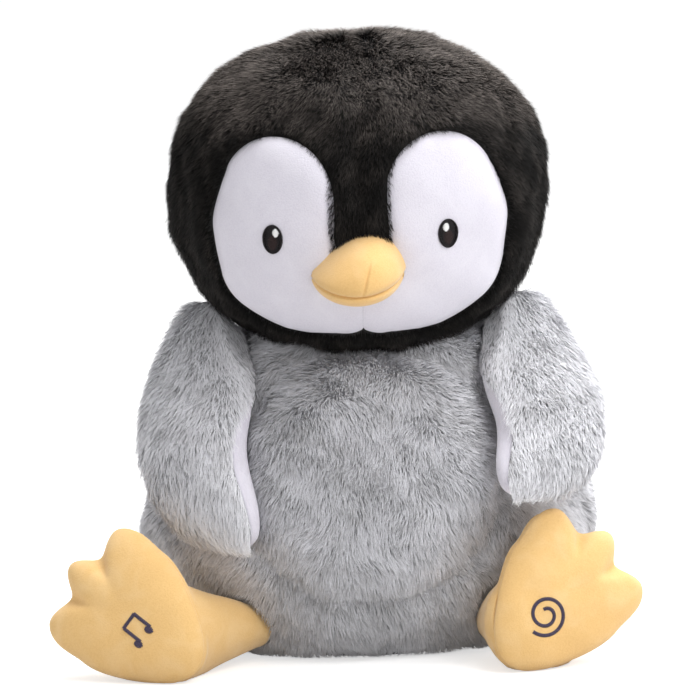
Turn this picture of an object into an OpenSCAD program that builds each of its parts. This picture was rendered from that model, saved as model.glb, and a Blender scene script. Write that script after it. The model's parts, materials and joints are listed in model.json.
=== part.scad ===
// Plush penguin that sits, swings its wings and opens its beak.
// Millimetres. The seat rests on z = 0, the penguin faces -Y and its left side is +X.

/* [Body] */
// Width of the stuffed body across the belly
body_w = 212; // [204:1:222]
// Depth of the stuffed body from front to back
body_d = 176; // [172:1:190]
// Height of the top of the body, hidden in the head
body_h = 172; // [169:1:178]
// Height of the widest part of the belly
belly_z = 64; // [58:1:70]
// How far the belly's curve would run on below the seat
belly_sink = 24; // [18:1:32]
// How square the body's upright curve is, 2 being round
body_full = 2.1; // [2.05:0.05:2.4]
// Thickness of the furry skin with its pile
skin_t = 5; // [4:0.5:6]
// Radius of the round panel that closes the seat
seat_r = 58; // [48:1:64]

/* [Head] */
// Width of the stuffed head
head_w = 182; // [174:1:192]
// Depth of the stuffed head from front to back
head_d = 162; // [156:1:172]
// Height of the crown above the widest part of the head
head_up = 76; // [70:1:84]
// Depth of the chin below the widest part of the head
head_down = 84; // [80:1:88]
// Height of the widest part of the head above the top of the body
head_rise = 54; // [51:1:57]
// How far the head's middle sits ahead of the body's middle
head_ahead = 12; // [8:1:16]
// How square the head's upright curve is, 2 being round
head_full = 2.2; // [2:0.05:2.4]

/* [Face] */
// Height of the eyes below the widest part of the head
eye_drop = 17; // [12:1:22]
// Distance of each eye from the middle
eye_x = 41; // [37:1:45]
// Width of an embroidered eye
eye_w = 9; // [7:0.5:12]
// Height of an embroidered eye
eye_h = 13.5; // [11:0.5:17]
// Thickness of the embroidery
stitch_t = 1; // [0.6:0.1:1.6]
// Width of the beak
beak_w = 48; // [44:1:54]
// How far the beak stands out from the face
beak_len = 27; // [24:1:32]
// Height of the upper beak above the mouth line
beak_up = 22; // [20:1:26]
// Depth of the lower beak below the mouth line
beak_down = 11; // [10:0.5:14]
// Angle by which the beak points down
beak_droop = 14; // [10:1:18]
// Height of the mouth line at the face, below the widest part of the head
mouth_drop = 37; // [35:1:39]
// Angle by which the lower beak opens
jaw_open = 10; // [5:1:12]

/* [Wings] */
// Breadth of a wing
wing_w = 69; // [66:1:72]
// Thickness of a wing
wing_t = 29; // [27:0.5:31]
// Angle through which the wings swing forward
wing_travel = 45; // [25:5:50]

/* [Feet] */
// Length of a foot from heel to middle toe
foot_l = 83; // [80:1:86]
// Width of a foot across its middle
foot_w = 64; // [60:1:68]
// Length of the toes
toe_len = 8.5; // [6:0.5:11]
// Thickness of a foot ahead of its seam
sole_t = 11; // [10:0.5:14]
// Thickness of a foot behind its seam
instep_t = 19; // [17:0.5:22]
// Distance of the left foot from the middle
left_foot_out = 88; // [87:1:94]
// Distance of the right foot from the middle
right_foot_out = 114; // [112:1:119]
// Angle of the left foot's toes above level
left_toe_up = 44; // [38:1:48]
// Angle of the right foot's toes above level
right_toe_up = 36; // [32:1:40]
// Angle by which the soles lean back
foot_lean = 12; // [8:1:16]
// Angle by which the soles turn outward
foot_yaw = 18; // [14:1:22]
// Stroke of the press buttons in the feet
press_travel = 2.5; // [1.5:0.5:3]

/* [Mechanism] */
// Width of the case in the body
case_w = 66; // [66:0.5:67]
// Depth of the case in the body
case_d = 56; // [56:0.5:57]
// Wall of the case
case_wall = 2.2; // [2:0.1:2.4]
// Radius of the wing axles
axle_r = 3; // [2.5:0.1:3.2]
// Radius of the neck post
neck_r = 9; // [7:0.5:11]
// Radius of the speaker
speaker_r = 24; // [20:0.5:24.5]
// Stroke of the power switch
switch_travel = 4; // [3:0.5:5]

/* [Hidden] */
// Gap between sewn soft pieces, and between soft and hard ones
seam = 0.3;
// Gap round a pin or axle that turns
run = 0.05;
// Gap between hard pieces that are fixed together
fix = 0.1;
// Far enough to cut right through
far = 400;

// Middle of the head
head_z = body_h + head_rise;
head_y = -head_ahead;

// Room round a rod or screw that passes through a soft piece or a wall
room = 1;

// Case: its top stays inside the body's dome
case_y = -6;
case_top = body_h - 20;
case_r = 6;
case_front_y = case_y - case_d / 2;
case_back_y = case_y + case_d / 2;
split_gap = fix / 2;

// Wing axles and the gears that drive them
axle_y = -22;
axle_z = case_top - 9.5;
wing_m = 1;
motor_m = 0.8;
wing_teeth = 40;
small_teeth = 12;
big_teeth = 40;
press_angle = 25;
play = 0.13;
tooth_steps = [-1.1, -0.4, 0.3, 0.85];
pair_1 = wing_m * (wing_teeth + small_teeth) / 2;
pair_2 = motor_m * (big_teeth + small_teeth) / 2;
mid_y = case_y;
mid_z = axle_z - sqrt(pow(pair_1, 2) - pow(mid_y - axle_y, 2));
motor_y = mid_y;
motor_z = mid_z - pair_2;
mesh_1 = atan2(mid_z - axle_z, mid_y - axle_y);
sector_in = 12;
sector_h = 5;
big_in = 5.5;
big_h = 5;
pin_r = 1.5;
motor_r = 10;
motor_out = case_w / 2 - case_wall - fix;
motor_in = 4;
shaft_r = 1;
rib_out = 22;
rib_t = 3;
rib_low = motor_z - motor_r - 4;
rib_high = motor_z + motor_r + 2.4;
axle_boss = 4;

// The case reaches down from the motor by the height of the board
board_rise = 64;
board_gap = 1.2;
case_z = rib_low - board_gap - board_rise;
case_h = case_top - case_z;

// Speaker, board, cells and switch inside the case
speaker_z = case_z + speaker_r + 6;
grille_r = 13;
grille_hole = 2;
board_y = case_y - 3.5;
board_t = 1.6;
board_w = 44;
board_top = case_z + board_rise;
board_post_r = 2.5;
board_post_x = board_w / 2 - 4;
cell_r = 7.25;
cell_l = 50.5;
cell_pitch = 15.1;
cell_y = case_y + 16;
cell_z = case_z + 13;
cell_tip_r = 2.6;
cell_tip = 1;
contact_t = 0.6;
contact_w = 10;
contact_x = cell_l / 2 + 0.9;
tray_y = cell_y - cell_r - 0.5;
tray_t = 1.6;
tray_top = cell_z + 2 * cell_pitch + cell_r + 0.5;
door_w = 57;
door_z = case_z + 5.2;
door_top = tray_top + 6.5;
door_screw_z = tray_top + 3.4;
switch_z = door_top + 8;
switch_w = 16;
switch_h = 8;
switch_d = 6.4;
slider_w = 4;
slider_h = 3;
slider_room = 0.1;
screw_r = 1.4;
screw_head = 1.8;
post_r = 3.2;
screw_x = case_w / 2 - case_wall - post_r - 0.4;
screw_low = case_z + 62;
screw_high = case_top - 22;

// Neck and the frame in the head
neck_flange_r = neck_r + 7;
neck_flange_t = 3;
neck_wall = 2.5;
neck_screw_x = neck_r + 3.5;
neck_screw_l = 5;
plate_z = body_h + 6;
plate_t = 3;
plate_w = 44;

// Beak and jaw
mouth_z = head_z - mouth_drop;
face_y = head_front(0, mouth_z);
beak_root = 8;
beak_full = 2.2;
jaw_back = 32;
jaw_y = face_y + jaw_back * cos(beak_droop);
jaw_z = mouth_z + jaw_back * sin(beak_droop);
jaw_teeth = 30;
jaw_pair = motor_m * (jaw_teeth + small_teeth) / 2;
jaw_motor_y = jaw_y + jaw_pair;
jaw_motor_r = 7.5;
jaw_motor_out = 22;
jaw_motor_in = 2;
jaw_sector_x = 2.5;
jaw_sector_h = 5;
cradle_w = 18;
ear_x = 14;
ear_t = 3;
ear_r = 5;
lever_w = 14;
lever_t = 2.5;
lever_drop = 2;
lever_l = jaw_back + beak_len * 0.62;
room_w = 54;
room_back = 22;
room_top = jaw_z + 16;

// Pale face patches as a chain of joined circles from brow to chin: x, height over the head's
// middle, and radius; then the glints in the eyes
face_chain = [
  [39.5, 6.5, 24],
  [42.7, -11, 27.2],
  [41, -31.5, 25.5],
  [30, -42.5, 21.5],
  [9, -49.5, 16.5],
];
face_depth = 12;
glint_in = eye_w * 0.18;
glint_up = eye_h * 0.2;
glint_w = eye_w * 0.26;
glint_h = eye_h * 0.24;
glint_t = 0.7;

// Hook and loop tapes behind the slit in the back
tape_t = 1.2;
tape_w = 18;

// Wing roots and the lines the wings follow, for a wing on the +X side
shoulder_x = body_side(axle_y, axle_z) + seam;
wing_root = [shoulder_x + wing_t / 2, axle_y, axle_z];
left_wing_line = [
  wing_root + [-13, 9, 28],
  wing_root + [-6, -6, -2],
  wing_root + [8, -57, -38],
  wing_root + [-6, -68, -61],
];
right_wing_line = [
  wing_root + [-13, 9, 28],
  wing_root + [-9, -8, -2],
  wing_root + [6, -54, -48],
  wing_root + [-18, -52, -84],
];
wing_turn_top = 40;
wing_turn_tip = 60;
wing_wrap = 20;
wing_blunt = 0.34;
wing_top = 0.8;
wing_full = 0.5;
wing_waist = 0.24;
waist_at = 0.6;
waist_long = 0.18;
wing_steps = 14;
wing_sides = 8;
arm_share = 0.52;
arm_w = 12;
arm_t = 3;
hub_r = 6.5;
hub_in = 6;
hub_out = wing_t - 5;
hub_cap = 2;
swing_gap = 0.9;

// Feet: the ankle runs from behind the sole to the front of the body
foot_y = -body_d / 2 - 6;
foot_steps = 6;
foot_sides = 34;
foot_sink = 0.6;
foot_blunt = 0.7;
toe_pitch = 42;
toe_flare = 0.25;
toe_spread = 0.6;
ankle_r = 27;
ankle_in = 10;
ankle_x = 58;
ankle_z = ankle_in + 7;
ankle_from = [-13, 0, -12];
puck_r = 13;
puck_back = 9;
puck_lip = 1;
button_r = 9;
button_out = 3.5;
button_deep = 3;
lead_r = 1.2;
lead_y = case_y - 10;
lead_z = case_z + 12;

// Signed power, for curves between round and square
function spow(v, p) = sign(v) * pow(abs(v), p);

// Share of an egg's half size that is left at height z, h being its half height there
function egg_share(h, full, z) = pow(max(0, 1 - pow(abs(z) / h, full)), 1 / full);

// Reach of the body to the side and to the front
function body_share(z) =
  egg_share(z > belly_z ? body_h - belly_z : belly_z + belly_sink, body_full, z - belly_z);
function body_side(y, z) =
  body_w / 2 * sqrt(max(0, pow(body_share(z), 2) - pow(2 * y / body_d, 2)));
function body_front(x, z) =
  -body_d / 2 * sqrt(max(0, pow(body_share(z), 2) - pow(2 * x / body_w, 2)));

// Reach of the head to the front
function head_front(x, z) =
  let (share = egg_share(z > head_z ? head_up : head_down, head_full, z - head_z))
  head_y - head_d / 2 * sqrt(max(0, pow(share, 2) - pow(2 * x / head_w, 2)));

// Closed skin over rings stacked from a lower to an upper point
module loft(low, rings, high) {
  n = len(rings[0]);
  m = len(rings);
  points = concat([low], [for (r = rings) each r], [high]);
  lid = m * n + 1;
  polyhedron(points, concat(
    [for (j = [0 : n - 1]) [0, 1 + j, 1 + (j + 1) % n]],
    [for (i = [0 : m - 2], j = [0 : n - 1])
      let (a = 1 + i * n + j, b = 1 + i * n + (j + 1) % n)
      each [[a, a + n, b + n], [a, b + n, b]]],
    [for (j = [0 : n - 1]) [lid, lid - n + (j + 1) % n, lid - n + j]]
  ), convexity = 6);
}

// Egg with its own half heights above and below, grown outward by grow
module egg(w, d, up, down, full, grow, rings, sides) {
  loft([0, 0, -down - grow],
    [for (i = [1 : rings - 1])
      let (a = -90 + 180 * i / rings, r = pow(cos(a), 2 / full), h = (a > 0 ? up : down) + grow)
      [for (j = [0 : sides - 1])
        [(w / 2 + grow) * r * cos(360 * j / sides),
          (d / 2 + grow) * r * sin(360 * j / sides),
          h * spow(sin(a), 2 / full)]]],
    [0, 0, up + grow]);
}

// A soft piece: one closed skin of flat facets
module soft() {
  resize([0, 0, 0]) children();
}

module body_form(grow = 0, rings = 14, sides = 28) {
  translate([0, 0, belly_z])
    egg(body_w, body_d, body_h - belly_z, belly_z + belly_sink, body_full, grow, rings, sides);
}

module head_form(grow = 0, rings = 14, sides = 28) {
  translate([0, head_y, head_z])
    egg(head_w, head_d, head_up, head_down, head_full, grow, rings, sides);
}

// Inner faces of the skins, in fewer facets
module body_inner(depth) {
  body_form(-depth, 9, 16);
}

module head_inner(depth) {
  head_form(-depth, 9, 16);
}

// The hollow in the body's skin, and the filling that lies in it when shrunk
module body_hollow(shrink = 0) {
  intersection() {
    body_inner(skin_t + shrink);
    translate([-far / 2, -far / 2, skin_t + shrink]) cube(far);
  }
}

// Everything below the floor
module under_floor() {
  translate([-far / 2, -far / 2, -far]) cube(far);
}

// Turning about the line of the wing axles, forward for a positive angle
module swing(a) {
  translate([0, axle_y, axle_z]) rotate([-a, 0, 0]) translate([0, -axle_y, -axle_z]) children();
}

// Turning about the jaw's pin, opening for a positive angle
module jaw_turn(a) {
  translate([0, jaw_y, jaw_z]) rotate([a, 0, 0]) translate([0, -jaw_y, -jaw_z]) children();
}

// Rod along X between two places
module rod_x(r, from, to, y, z, sides = 48) {
  translate([from, y, z]) rotate([0, 90, 0]) cylinder(r = r, h = to - from, $fn = sides);
}

// Rod along Y between two places
module rod_y(r, x, from, to, z) {
  translate([x, from, z]) rotate([-90, 0, 0]) cylinder(r = r, h = to - from, $fn = 48);
}

// Box between two corners
module box(a, b) {
  translate(a) cube(b - a);
}

module on_side(side) {
  if (side > 0) children();
  else mirror([1, 0, 0]) children();
}

// Body

module body_skin() {
  color([0.45, 0.44, 0.46]) soft() difference() {
    body_form();
    under_floor();
    body_hollow();
    translate([0, 0, -1]) cylinder(r = seat_r + 2 * seam, h = skin_t + 2, $fn = 30);
    translate([0, case_y, case_top]) cylinder(r = neck_r + room, h = far, $fn = 20);
    rod_x(axle_r + room, -far, far, axle_y, axle_z, 16);
    box([-seam, 0, slit_z()], [seam, far, slit_top()]);
    lead_way(1);
    lead_way(-1);
  }
}

module body_stuffing() {
  color([0.9, 0.9, 0.88]) soft() difference() {
    body_hollow(seam);
    box([-case_w / 2 - seam, case_front_y - seam, case_z - seam],
      [case_w / 2 + seam, case_back_y + seam, case_top + seam]);
    translate([0, case_y, case_top]) cylinder(r = neck_flange_r + room, h = far, $fn = 20);
    rod_x(axle_r + room, -far, far, axle_y, axle_z, 16);
    box([-door_w / 2 - 2 * room, case_back_y - room, slit_z()], [door_w / 2 + 2 * room, far, slit_top()]);
    lead_way(1);
    lead_way(-1);
  }
}

module seat_panel() {
  color([0.3, 0.3, 0.32]) cylinder(r = seat_r, h = skin_t, $fn = 96);
}

// The slit in the back seam reaches over the battery door and the switch
function slit_z() = door_z - 2;
function slit_top() = switch_z + 8;

// Strip under the skin at the slit, a number of layers deep
module tape(layer) {
  depth = skin_t + seam + layer * (tape_t + seam);
  intersection() {
    box([-tape_w / 2, 0, slit_z() + 1], [tape_w / 2, far, slit_top() - 1]);
    difference() {
      body_inner(depth);
      body_inner(depth + tape_t);
    }
  }
}

module hook_tape() {
  color([0.15, 0.15, 0.16]) soft() tape(1);
}

module loop_tape() {
  color([0.22, 0.22, 0.24]) soft() tape(0);
}

// Head

// Outline of the pale face patch on the +X side, seen from the front
module face_outline(grow = 0) {
  for (i = [1 : len(face_chain) - 1]) hull() {
    for (c = [face_chain[i - 1], face_chain[i]])
      translate([c.x, head_z + c.y]) circle(r = c.z + grow, $fn = 28);
  }
}

// The patch as a block through the front of the head, kept on its own side of the middle
module face_block(grow = 0) {
  intersection() {
    translate([0, head_y - face_depth, 0]) rotate([90, 0, 0])
      linear_extrude(head_d) face_outline(grow);
    translate([seam / 2 - grow, -far, 0]) cube(far);
  }
}

// Place in the YZ plane of a point ahead of the jaw's pin by d and below the mouth line by h
function lever_at(d, h, a) = [jaw_y - d * cos(a) + h * sin(a), jaw_z - d * sin(a) - h * cos(a)];

// Way through the head for the lever, from shut to open
module mouth_tunnel() {
  ahead = jaw_back + beak_len;
  shut = beak_droop;
  open = beak_droop + jaw_open;
  top = lever_drop - room;
  bottom = lever_drop + lever_t + room;
  translate([-lever_w / 2 - room, 0, 0]) rotate([90, 0, 90]) linear_extrude(lever_w + 2 * room)
    polygon([lever_at(0, top, shut), lever_at(ahead, top, shut), lever_at(ahead, bottom, open),
      lever_at(0, bottom, open)]);
}

module head_skin() {
  color([0.07, 0.065, 0.07]) soft() difference() {
    head_form();
    head_inner(skin_t);
    body_form(seam);
    face_block(seam);
    mirror([1, 0, 0]) face_block(seam);
    mouth_tunnel();
  }
}

module head_stuffing() {
  color([0.9, 0.9, 0.88]) soft() difference() {
    head_inner(skin_t + seam);
    body_form(seam);
    box([-room_w / 2, jaw_y - 12, body_h - 30], [room_w / 2, case_y + room_back, room_top]);
    mouth_tunnel();
  }
}

module face(side) {
  color([0.86, 0.83, 0.88]) soft() on_side(side) difference() {
    intersection() {
      head_form();
      face_block();
    }
    head_inner(skin_t);
    body_form(seam);
    mouth_tunnel();
  }
}

module left_face() {
  face(1);
}

module right_face() {
  face(-1);
}

// Oval of embroidery lying on the face, between two heights above it
module face_oval(x, z, w, h, from, to) {
  intersection() {
    translate([x, head_y - face_depth, z]) rotate([90, 0, 0])
      linear_extrude(head_d) scale([w, h]) circle(d = 1, $fn = 20);
    difference() {
      head_form(to);
      head_form(from);
    }
  }
}

module eye(side) {
  color([0.03, 0.025, 0.03]) soft()
    face_oval(side * eye_x, head_z - eye_drop, eye_w, eye_h, seam / 2, stitch_t);
}

module left_eye() {
  eye(1);
}

module right_eye() {
  eye(-1);
}

module eye_glints() {
  color([0.97, 0.97, 0.97]) for (side = [-1, 1])
    soft() face_oval(side * (eye_x - glint_in), head_z - eye_drop + glint_up, glint_w, glint_h,
      stitch_t + seam / 2, stitch_t + glint_t);
}

module at_mouth() {
  translate([0, face_y, mouth_z]) rotate([beak_droop, 0, 0]) children();
}

// Beak as one rounded form lying along the mouth line, its middle a little inside the face
module beak_form() {
  at_mouth() translate([0, beak_root, 0])
    egg(beak_w, 2 * (beak_len + beak_root), beak_up, beak_down, beak_full, 0, 10, 20);
}

// Half space on one side of the mouth line
module mouth_half(up) {
  at_mouth() translate([-far / 2, -far / 2, up ? seam / 2 : -far - seam / 2]) cube(far);
}

module upper_beak() {
  color([0.93, 0.75, 0.42]) soft() difference() {
    intersection() {
      beak_form();
      mouth_half(true);
    }
    head_form(seam);
  }
}

module lower_beak() {
  color([0.92, 0.73, 0.4]) soft() difference() {
    intersection() {
      beak_form();
      mouth_half(false);
    }
    for (a = [0 : jaw_open / 2 : jaw_open]) jaw_turn(-a) head_form(seam);
    lever_bar(seam);
  }
}

// Wings

function bezier(p, t) =
  pow(1 - t, 3) * p[0] + 3 * t * pow(1 - t, 2) * p[1] + 3 * t * t * (1 - t) * p[2] + pow(t, 3) * p[3];

// Half of a wing: the furry outside, or the smooth lining, which wraps round the front edge
module wing_half(line, outside) {
  from = outside ? wing_wrap : 180;
  to = outside ? 180 : 360 + wing_wrap;
  shift = outside ? seam / 2 : -seam / 2;
  rings = [for (i = [1 : wing_steps - 1])
    let (
      t = 1 - i / wing_steps,
      turn = wing_turn_top + (wing_turn_tip - wing_turn_top) * t,
      along = [-sin(turn), -cos(turn), 0],
      out = [cos(turn), -sin(turn), 0],
      swell = pow(sin(180 * t), wing_blunt),
      broad = wing_top + (1 - wing_top) * min(1, t / wing_full),
      waist = 1 - wing_waist * exp(-pow((t - waist_at) / waist_long, 2))
    )
    [for (j = [0 : wing_sides])
      let (a = from + (to - from) * j / wing_sides)
      bezier(line, t) + along * (wing_w / 2 * broad * swell * cos(a) * (cos(a) > 0 ? waist : 1))
        + out * (wing_t / 2 * swell * sin(a) + shift)]];
  loft(bezier(line, 1), rings, bezier(line, 0));
}

// What a wing must stay clear of while it swings
module wing_bounds() {
  for (a = [0 : wing_travel / 3 : wing_travel]) swing(-a) {
    body_form(swing_gap);
    head_form(swing_gap);
  }
}

// Plastic arm in a wing: a hub on the axle and a flat bar along the wing
module arm(line, grow) {
  reach = bezier(line, arm_share) - wing_root;
  l = norm(reach);
  rod_x(hub_r + grow, shoulder_x + hub_in - grow, shoulder_x + hub_out + grow, axle_y, axle_z);
  translate(wing_root) rotate([0, acos(reach.z / l), atan2(reach.y, reach.x)])
    box([-arm_w / 2 - grow, -arm_t / 2 - grow, 0], [arm_w / 2 + grow, arm_t / 2 + grow, l + grow]);
}

module wing(side, line, outside) {
  soft() on_side(side) difference() {
    wing_half(line, outside);
    wing_bounds();
    arm(line, seam);
    rod_x(axle_r + seam, 0, shoulder_x + hub_out, axle_y, axle_z);
  }
}

module left_wing_fur() {
  color([0.42, 0.41, 0.43]) wing(1, left_wing_line, true);
}

module left_wing_lining() {
  color([0.8, 0.79, 0.82]) wing(1, left_wing_line, false);
}

module right_wing_fur() {
  color([0.42, 0.41, 0.43]) wing(-1, right_wing_line, true);
}

module right_wing_lining() {
  color([0.8, 0.79, 0.82]) wing(-1, right_wing_line, false);
}

module wing_arm(side, line) {
  color([0.8, 0.8, 0.78]) on_side(side) difference() {
    arm(line, 0);
    rod_x(axle_r + run, 0, shoulder_x + hub_out - hub_cap, axle_y, axle_z);
  }
}

module left_arm() {
  wing_arm(1, left_wing_line);
}

module right_arm() {
  wing_arm(-1, right_wing_line);
}

// Feet

// Edge of a foot from its middle: three toes lie round the angle 0, the outer ones running out into the sides
function toe_lobe(t) =
  let (a = abs(t) < toe_pitch ? abs(t) : toe_pitch + (abs(t) - toe_pitch) * toe_spread)
  a < 1.5 * toe_pitch ? toe_len * (1 + cos(360 * a / toe_pitch)) / 2 : 0;
function foot_edge(t) =
  let (
    l = abs(t) < 90 ? foot_l / 2 - toe_len : foot_l / 2,
    w = foot_w / 2 * (1 + toe_flare * cos(t))
  )
  1 / sqrt(pow(cos(t) / l, 2) + pow(sin(t) / w, 2)) + toe_lobe(t);

// Rings of a foot from behind its seam to the sole's face
foot_rings = [for (i = [1 : foot_steps - 1])
  let (
    a = -90 + 180 * i / foot_steps,
    s = pow(cos(a), foot_blunt),
    h = (a > 0 ? sole_t : instep_t) * sin(a)
  )
  [for (j = [0 : foot_sides - 1])
    let (t = -180 + 360 * j / foot_sides)
    [foot_edge(t) * s * cos(t), foot_edge(t) * s * sin(t), h]]];

// Height of a foot's middle at which its lowest edge is pressed a little into the floor
function foot_z(toe_up) = -foot_sink - min([for (r = foot_rings, p = r)
  p.z * sin(foot_lean) + (p.x * sin(toe_up) + p.y * cos(toe_up)) * cos(foot_lean)]);

function toe_up(side) = side > 0 ? left_toe_up : right_toe_up;
function foot_out(side) = side > 0 ? left_foot_out : right_foot_out;

// Place of a point of a foot, for a foot on the +X side
function foot_point(side, p) =
  let (
    u = toe_up(side),
    a = [p.x * cos(u) - p.y * sin(u), -p.z, p.x * sin(u) + p.y * cos(u)],
    b = [a.x, a.y * cos(foot_lean) + a.z * sin(foot_lean), a.z * cos(foot_lean) - a.y * sin(foot_lean)]
  )
  [foot_out(side) + b.x * cos(foot_yaw) - b.y * sin(foot_yaw),
    foot_y + b.x * sin(foot_yaw) + b.y * cos(foot_yaw),
    foot_z(u) + b.z];

module foot_place(side) {
  on_side(side) translate([foot_out(side), foot_y, foot_z(toe_up(side))])
    rotate([-foot_lean, 0, foot_yaw]) rotate([90, 0, 0]) rotate([0, 0, toe_up(side)]) children();
}

// The ankle ends inside the front of the body
ankle_end = [ankle_x, body_front(ankle_x, ankle_z) + 2, ankle_z];

module foot_form() {
  loft([0, 0, -instep_t], foot_rings, [0, 0, sole_t]);
}

// Room for the press switch in a foot
module switch_room() {
  translate([0, 0, -puck_back - seam])
    cylinder(r = puck_r + seam, h = puck_back + seam + puck_lip, $fn = 20);
  cylinder(r = button_r + room, h = button_out + seam, $fn = 16);
}

module sole(side) {
  color([0.93, 0.74, 0.42]) soft() difference() {
    foot_place(side) difference() {
      intersection() {
        foot_form();
        translate([-far / 2, -far / 2, seam / 2]) cube(far);
      }
      switch_room();
    }
    under_floor();
    body_form(seam);
  }
}

module instep(side) {
  color([0.92, 0.73, 0.41]) soft() difference() {
    union() {
      foot_place(side) intersection() {
        foot_form();
        translate([-far / 2, -far / 2, -far - seam / 2]) cube(far);
      }
      intersection() {
        hull() {
          on_side(side) translate(foot_point(side, ankle_from)) sphere(r = ankle_r, $fn = 14);
          on_side(side) translate(ankle_end) sphere(r = ankle_in, $fn = 12);
        }
        foot_place(side) translate([-far / 2, -far / 2, -far - seam / 2]) cube(far);
      }
    }
    foot_place(side) switch_room();
    under_floor();
    body_form(seam);
    lead_way(side);
  }
}

module left_sole() {
  sole(1);
}

module left_instep() {
  instep(1);
}

module right_sole() {
  sole(-1);
}

module right_instep() {
  instep(-1);
}

// Press switch in a foot: a round housing and its button
module foot_switch(side) {
  color([0.2, 0.2, 0.22]) foot_place(side) difference() {
    translate([0, 0, -puck_back]) cylinder(r = puck_r, h = puck_back + puck_lip - seam, $fn = 48);
    translate([0, 0, -button_deep - press_travel - 0.5]) cylinder(r = button_r + run, h = far, $fn = 48);
  }
}

module foot_button(side) {
  color([0.75, 0.2, 0.2]) foot_place(side)
    translate([0, 0, -button_deep]) cylinder(r = button_r, h = button_out + button_deep, $fn = 48);
}

module left_foot_switch() {
  foot_switch(1);
}

module left_foot_button() {
  foot_button(1);
}

module right_foot_switch() {
  foot_switch(-1);
}

module right_foot_button() {
  foot_button(-1);
}

// Wire from a foot's switch along the ankle to the side of the case
function lead_line(side) = [
  foot_point(side, [-2, 0, -puck_back - seam]),
  foot_point(side, [-3, 0, -puck_back - 7]),
  (foot_point(side, [-6, 0, -8]) + ankle_end) / 2,
  ankle_end + [-4, 14, 6],
  [case_w / 2 + 16, lead_y, lead_z],
  [case_w / 2 + 2, lead_y, lead_z],
  [case_w / 2 - case_wall - 2, lead_y, lead_z],
];

// Smooth curve through the points p, at t in the stretch after point i
function through(p, i, t) =
  let (
    a = p[max(i - 1, 0)],
    b = p[i],
    c = p[i + 1],
    d = p[min(i + 2, len(p) - 1)]
  )
  b + t * (c - a) / 2 + t * t * (a - 2.5 * b + 2 * c - d / 2)
    + pow(t, 3) * (1.5 * b - a / 2 - 1.5 * c + d / 2);

module lead(side, r, sides = 8) {
  p = lead_line(side);
  stretches = len(p) - 1;
  line = concat(
    [for (i = [0 : stretches - 1], t = [0 : 0.25 : 0.75]) through(p, i, t)],
    [p[stretches]]
  );
  last = len(line) - 1;
  rings = [for (i = [0 : last])
    let (
      d = line[min(i + 1, last)] - line[max(i - 1, 0)],
      along = d / norm(d),
      level = cross(along, [0, 0, 1]),
      across = level / norm(level),
      up = cross(across, along)
    )
    [for (j = [0 : sides - 1])
      line[i] + r * (cos(360 * j / sides) * across - sin(360 * j / sides) * up)]];
  on_side(side) loft(line[0], rings, line[last]);
}

// Channel that a wire lies in
module lead_way(side) {
  lead(side, (lead_r + seam) / cos(30), 6);
}

module left_foot_lead() {
  color([0.1, 0.1, 0.1]) lead(1, lead_r);
}

module right_foot_lead() {
  color([0.1, 0.1, 0.1]) lead(-1, lead_r);
}

// Case

// Rectangle with round corners
module slab(w, d, r) {
  square([w, d - 2 * r], center = true);
  square([w - 2 * r, d], center = true);
  for (x = [-1, 1], y = [-1, 1])
    translate([x * (w / 2 - r), y * (d / 2 - r)]) circle(r = r, $fn = 32);
}

module case_shell() {
  difference() {
    translate([0, case_y, case_z]) linear_extrude(case_h) slab(case_w, case_d, case_r);
    translate([0, case_y, case_z + case_wall]) linear_extrude(case_h - 2 * case_wall)
      slab(case_w - 2 * case_wall, case_d - 2 * case_wall, case_r - case_wall);
  }
}

// Upright plate round the motor
module motor_rib() {
  box([-rib_out, case_front_y + 1, rib_low], [rib_t - rib_out, case_back_y - 1, rib_high]);
}

module front_space() {
  box([-far, -far, -far], [far, case_y - split_gap, far]);
}

module back_space() {
  box([-far, case_y + split_gap, -far], [far, far, far]);
}

// Holes that both halves of the case share
module case_holes() {
  rod_x(axle_r + run, -far, far, axle_y, axle_z);
  rod_x(pin_r + run, -far, far, mid_y, mid_z);
  rod_x(motor_r + fix, -motor_out - fix / 2, 0, motor_y, motor_z);
  for (x = [-1, 1])
    translate([x * neck_screw_x, case_y, case_top - case_wall - 1])
      cylinder(r = screw_r + run, h = far, $fn = 32);
}

// Hole in the case's front that lets the speaker sound through
module speaker_hole(x, up) {
  rod_y(grille_hole, x, -far, case_front_y + case_wall + 1, speaker_z + up);
}

module case_front() {
  color([0.16, 0.16, 0.18]) difference() {
    union() {
      intersection() {
        union() {
          case_shell();
          motor_rib();
        }
        front_space();
      }
      box([-axle_boss, case_front_y + 1, axle_z - axle_r - 4],
        [axle_boss, axle_y + axle_r + 3, case_top - 1]);
      for (x = [-1, 1], z = [screw_low, screw_high])
        rod_y(post_r, x * screw_x, case_front_y + 1, case_y - split_gap, z);
      for (x = [-1, 1])
        rod_y(board_post_r, x * board_post_x, case_front_y + 1, board_y - board_t - fix, board_top - 4);
    }
    case_holes();
    for (x = [-1, 1], z = [screw_low, screw_high])
      rod_y(screw_r + run, x * screw_x, case_y - 14, far, z);
    for (a = [0 : 60 : 300])
      speaker_hole(grille_r * cos(a), grille_r * sin(a));
    speaker_hole(0, 0);
    rod_x(lead_r + seam, -far, -case_w / 2 + case_wall + 1, lead_y, lead_z);
    rod_x(lead_r + seam, case_w / 2 - case_wall - 1, far, lead_y, lead_z);
  }
}

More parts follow.
